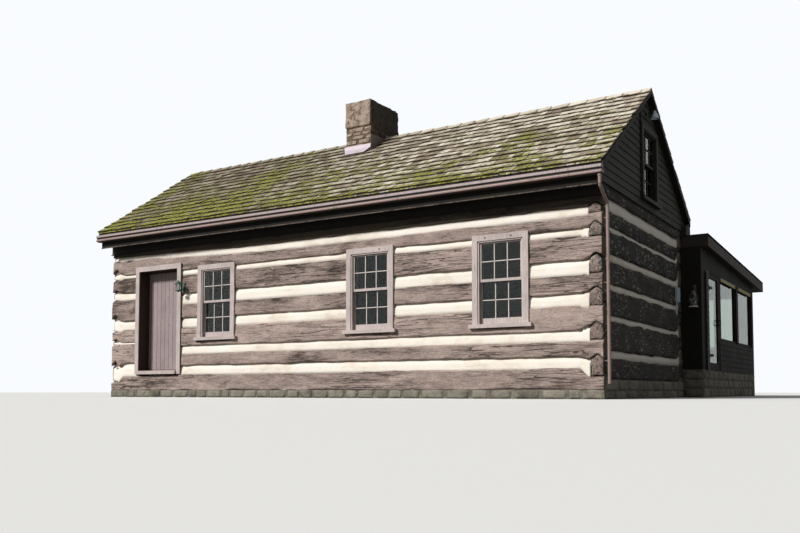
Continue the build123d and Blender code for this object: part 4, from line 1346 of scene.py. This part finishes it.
def door_lantern():
    """A small patinated wall lantern: plate, arm, eight posts, a hipped cap and a glass chimney."""
    low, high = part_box("door_lantern")
    x = (low.x + high.x) / 2
    y = low.y + 0.065
    z = low.z
    wall = high.y
    cap_z = high.z - 0.075
    cap = [(0.068, 0), (0.070, 0.006), (0.045, 0.038), (0.018, 0.056), (0.016, 0.066), (0.006, 0.075)]
    tray = [(0.050, 0.018), (0.060, 0.024), (0.060, 0.034), (0.030, 0.040)]
    parts = [
        block((x - 0.03, wall - 0.012, z + 0.02), (x + 0.03, wall, high.z - 0.03)),
        tube([(x, wall - 0.01, z + 0.06), (x, y + 0.05, z + 0.06)], 0.007),
        turned(cap, (x, y, cap_z), 8),
        turned(tray, (x, y, z), 8),
        turned([(0.012, 0), (0.020, 0.018)], (x, y, z), 8),
    ]
    for c, s in round_points(8, math.pi / 8):
        foot = (x + 0.050 * c, y + 0.050 * s, z + 0.030)
        parts.append(tube([foot, (x + 0.060 * c, y + 0.060 * s, cap_z + 0.003)], 0.003, 6))
    made("door_lantern_frame", parts, "brass", "door_lantern")
    rim = cap_z - z
    globe = turned([(0.030, 0.038), (0.040, 0.07), (0.040, rim - 0.02), (0.028, rim + 0.002)], (x, y, z))
    made("door_lantern_glass", [globe], "lantern_glass", smooth=True)


def sunroom_lantern():
    """A storm lantern on a scroll hook: tank, globe with guards, vented cap and carrying bail."""
    low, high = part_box("sunroom_lantern")
    x = (low.x + high.x) / 2
    y = low.y + 0.085
    z = low.z
    wall = high.y
    tank = [(0.078, 0), (0.082, 0.012), (0.070, 0.030), (0.040, 0.046)]
    burner = [(0.058, 0.040), (0.062, 0.060), (0.056, 0.084), (0.030, 0.094)]
    cap = [(0.040, 0.232), (0.052, 0.240), (0.046, 0.262), (0.030, 0.276), (0.030, 0.290), (0.012, 0.300)]
    parts = [turned(profile, (x, y, z)) for profile in (tank, burner, cap)]
    parts.append(block((x - 0.028, wall - 0.012, z + 0.20), (x + 0.028, wall, high.z - 0.03)))
    frame_rail = ((0.055, 0.05), (0.074, 0.12), (0.070, 0.22), (0.040, 0.262))
    for side in (-1, 1):
        parts.append(tube([(x + side * out, y, z + up) for out, up in frame_rail], 0.005))
    guard = ((0.040, 0.09), (0.058, 0.15), (0.052, 0.20), (0.040, 0.236))
    for c, s in round_points(6):
        parts.append(tube([(x + out * c, y + out * s, z + up) for out, up in guard], 0.0022, 6))
    parts.append(tube(arc((x, y, z + 0.262), 0.045, 0, 180, 10, axis=1), 0.003, 6))
    hook = [(x, y, z + 0.305), (x, y - 0.004, z + 0.325)]
    hook += arc((x, y + 0.030, z + 0.335), 0.034, 180, 0, 12)
    hook += [(x, y + 0.066, z + 0.30), (x, wall - 0.006, z + 0.27)]
    scroll = arc((x, y + 0.055, z + 0.400), 0.040, 200, -60, 14) + [(x, wall - 0.006, z + 0.34)]
    made("sunroom_lantern_hook", [tube(hook, 0.005), tube(scroll, 0.005)], "iron")
    made("sunroom_lantern_metal", parts, "tin", "sunroom_lantern")
    dish = turned([(0.080, 0.001), (0.084, 0.012), (0.078, 0.022), (0.060, 0.030)], (x, y, z))
    made("sunroom_lantern_dish", [dish], "dish", smooth=True)
    globe = turned([(0.034, 0.088), (0.052, 0.14), (0.052, 0.18), (0.036, 0.236)], (x, y, z))
    made("sunroom_lantern_glass", [globe], "lantern_glass", smooth=True)


def gable_lamp():
    """A bell-shaped enamel shade on a bent arm with a round wall plate."""
    low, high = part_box("gable_lamp")
    x = high.x - 0.064
    y = (low.y + high.y) / 2
    hollow = [(0.0595, 0.001), (0.047, 0.050), (0.030, 0.088), (0.001, 0.095)]
    outside = [(0.008, 0.130), (0.020, 0.125), (0.024, 0.102), (0.034, 0.088), (0.050, 0.050)]
    outside += [(0.064, 0.004), (0.062, 0)]
    shade = turned(outside + hollow, (x, y, low.z), 28)
    made("gable_lamp_shade", [shade], "enamel", "gable_lamp", smooth=True)
    bends = ((low.x, 0.060), (low.x + 0.05, 0.055), (x - 0.03, 0.012), (x - 0.008, 0.008), (x, 0.024))
    arm = tube([(place, y, high.z - drop) for place, drop in bends], 0.008)
    plate = tube([(low.x, y, high.z - 0.06), (low.x + 0.012, y, high.z - 0.06)], 0.034, 20)
    made("gable_lamp_arm", [arm, plate], "iron")


def meter_boxes():
    """A meter box with a lipped lid and hinge, a small junction box, and the conduit between them."""
    parts = []
    lip = 0.006
    large, small = sorted(solid_boxes("meter_boxes"), key=lambda pair: -pair[1][2])
    for low, high in (large, small):
        parts.append(block(low, (high[0] - 0.010, *high[1:])))
        parts.append(block((high[0] - 0.009, *(low[1:] + lip)), (high[0], *(high[1:] - lip)), 0.7))
    low, high = large
    for share in (0.22, 0.78):
        z = low[2] + share * (high[2] - low[2])
        parts.append(tube(upright(high[0] - 0.008, low[1] + 0.004, z - 0.02, z + 0.02), 0.005))
    latch = (high[0] - 0.004, high[1] - 0.030, low[2] + 0.11)
    parts.append(block(latch, (high[0] + 0.006, high[1] - 0.018, low[2] + 0.15), 0.2))
    made("meter_box_covers", parts, "meter", "meter_boxes", bevel=0.003)
    small_low, small_high = small
    run = upright(small_low[0] + 0.016, (small_low[1] + small_high[1]) / 2, small_high[2], low[2])
    made("meter_conduit", [tube(run, 0.012, 12)], "meter")


def finish_nodes():
    """Materials for the CAD nodes whose shape is right."""
    for finish, nodes in {
        "floor": ("ground_floor", "loft_floor"),
        "trim_dark": ("front_rake_boards", "back_rake_boards", "eave_boxes"),
        "casing": ("window_frames", "window_sashes"),
        "glass": ("window_glass", "sunroom_glass", "sunroom_door_glass"),
        "door_frame": ("front_door_frame",),
        "door": ("front_door",),
        "footing": ("sunroom_floor",),
        "sunroom": (
            "sunroom_return_wall", "sunroom_header", "sunroom_side_frame", "sunroom_rear_frame",
            "sunroom_left_frame", "sunroom_sashes", "sunroom_door",
        ),
        "sunroom_edge": ("sunroom_roof",),
    }.items():
        for node in nodes:
            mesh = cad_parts[node].data
            mesh.materials.clear()
            mesh.materials.append(FINISH[finish])


def viewpoint(scene):
    """The camera at the photo's viewing angle."""
    focal_pixels = 852.3
    image_width, image_height = 800, 533
    principal_row = 344.7
    turn, rise = 31.80, 3.12
    camera = new_piece("camera", bpy.data.cameras.new("camera"))
    camera.data.sensor_width = 36.0
    camera.data.lens = focal_pixels / image_width * camera.data.sensor_width
    camera.data.shift_y = (principal_row - image_height / 2) / image_width
    camera.data.clip_end = 500.0
    camera.location = (9.163, -13.750, 0.115)
    camera.rotation_euler = (math.radians(90 + rise), 0.0, math.radians(turn))
    scene.camera = camera


def studio():
    """A pale floor, a white backdrop that lights softly, and a sun from the front left."""
    scene = bpy.context.scene
    scene.view_settings.view_transform = "Standard"
    viewpoint(scene)
    half = 60
    corners = [(-half, -half, 0), (half, -half, 0), (half, half, 0), (-half, half, 0)]
    floor = new_piece("floor", mesh_from("floor", corners, [(0, 1, 2, 3)]))
    ground = Finish("studio_floor", Roughness=0.9)
    seen_floor = ground.start.make("ShaderNodeLightPath", output="Is Camera Ray")
    ground.set("Base Color", seen_floor.mix((112, 112, 108), (240, 240, 238)))
    floor.data.materials.append(ground.material)

    world = bpy.data.worlds.new("studio")
    scene.world = world
    world.use_nodes = True
    start = Field(world.node_tree)
    seen, shiny, through = (
        start.make("ShaderNodeLightPath", output=ray)
        for ray in ("Is Camera Ray", "Is Glossy Ray", "Is Transmission Ray")
    )
    fill = 0.21
    strength = (seen + through + shiny * 0.4).between(0.0, 1.0) * (1.0 - fill) + fill
    back = world.node_tree.nodes["Background"]
    world.node_tree.links.new(strength.socket, back.inputs["Strength"])
    back.inputs["Color"].default_value = (0.95, 0.97, 1.0, 1.0)

    sun = new_piece("key", bpy.data.lights.new("key", "SUN"))
    sun.data.energy = 3.75
    sun.data.angle = math.radians(9)
    sun.data.color = (1.0, 0.985, 0.965)
    sun.rotation_euler = Vector((-0.40, -0.80, 0.64)).to_track_quat("Z", "Y").to_euler()


studio()
finish_nodes()
log_walls()
roof()
clapboards("right_gable_boards", 1, 31)
clapboards("left_gable_boards", -1, 32)
window_muntins()
window_stops()
casing_plugs()
door_planks()
gutter()
downspout()
eave_boards()
chimney()
chimney_flashings()
footing()
sunroom_base()
sunroom_head_trims()
sunroom_siding()
sunroom_covering()
door_lantern()
sunroom_lantern()
gable_lamp()
meter_boxes()
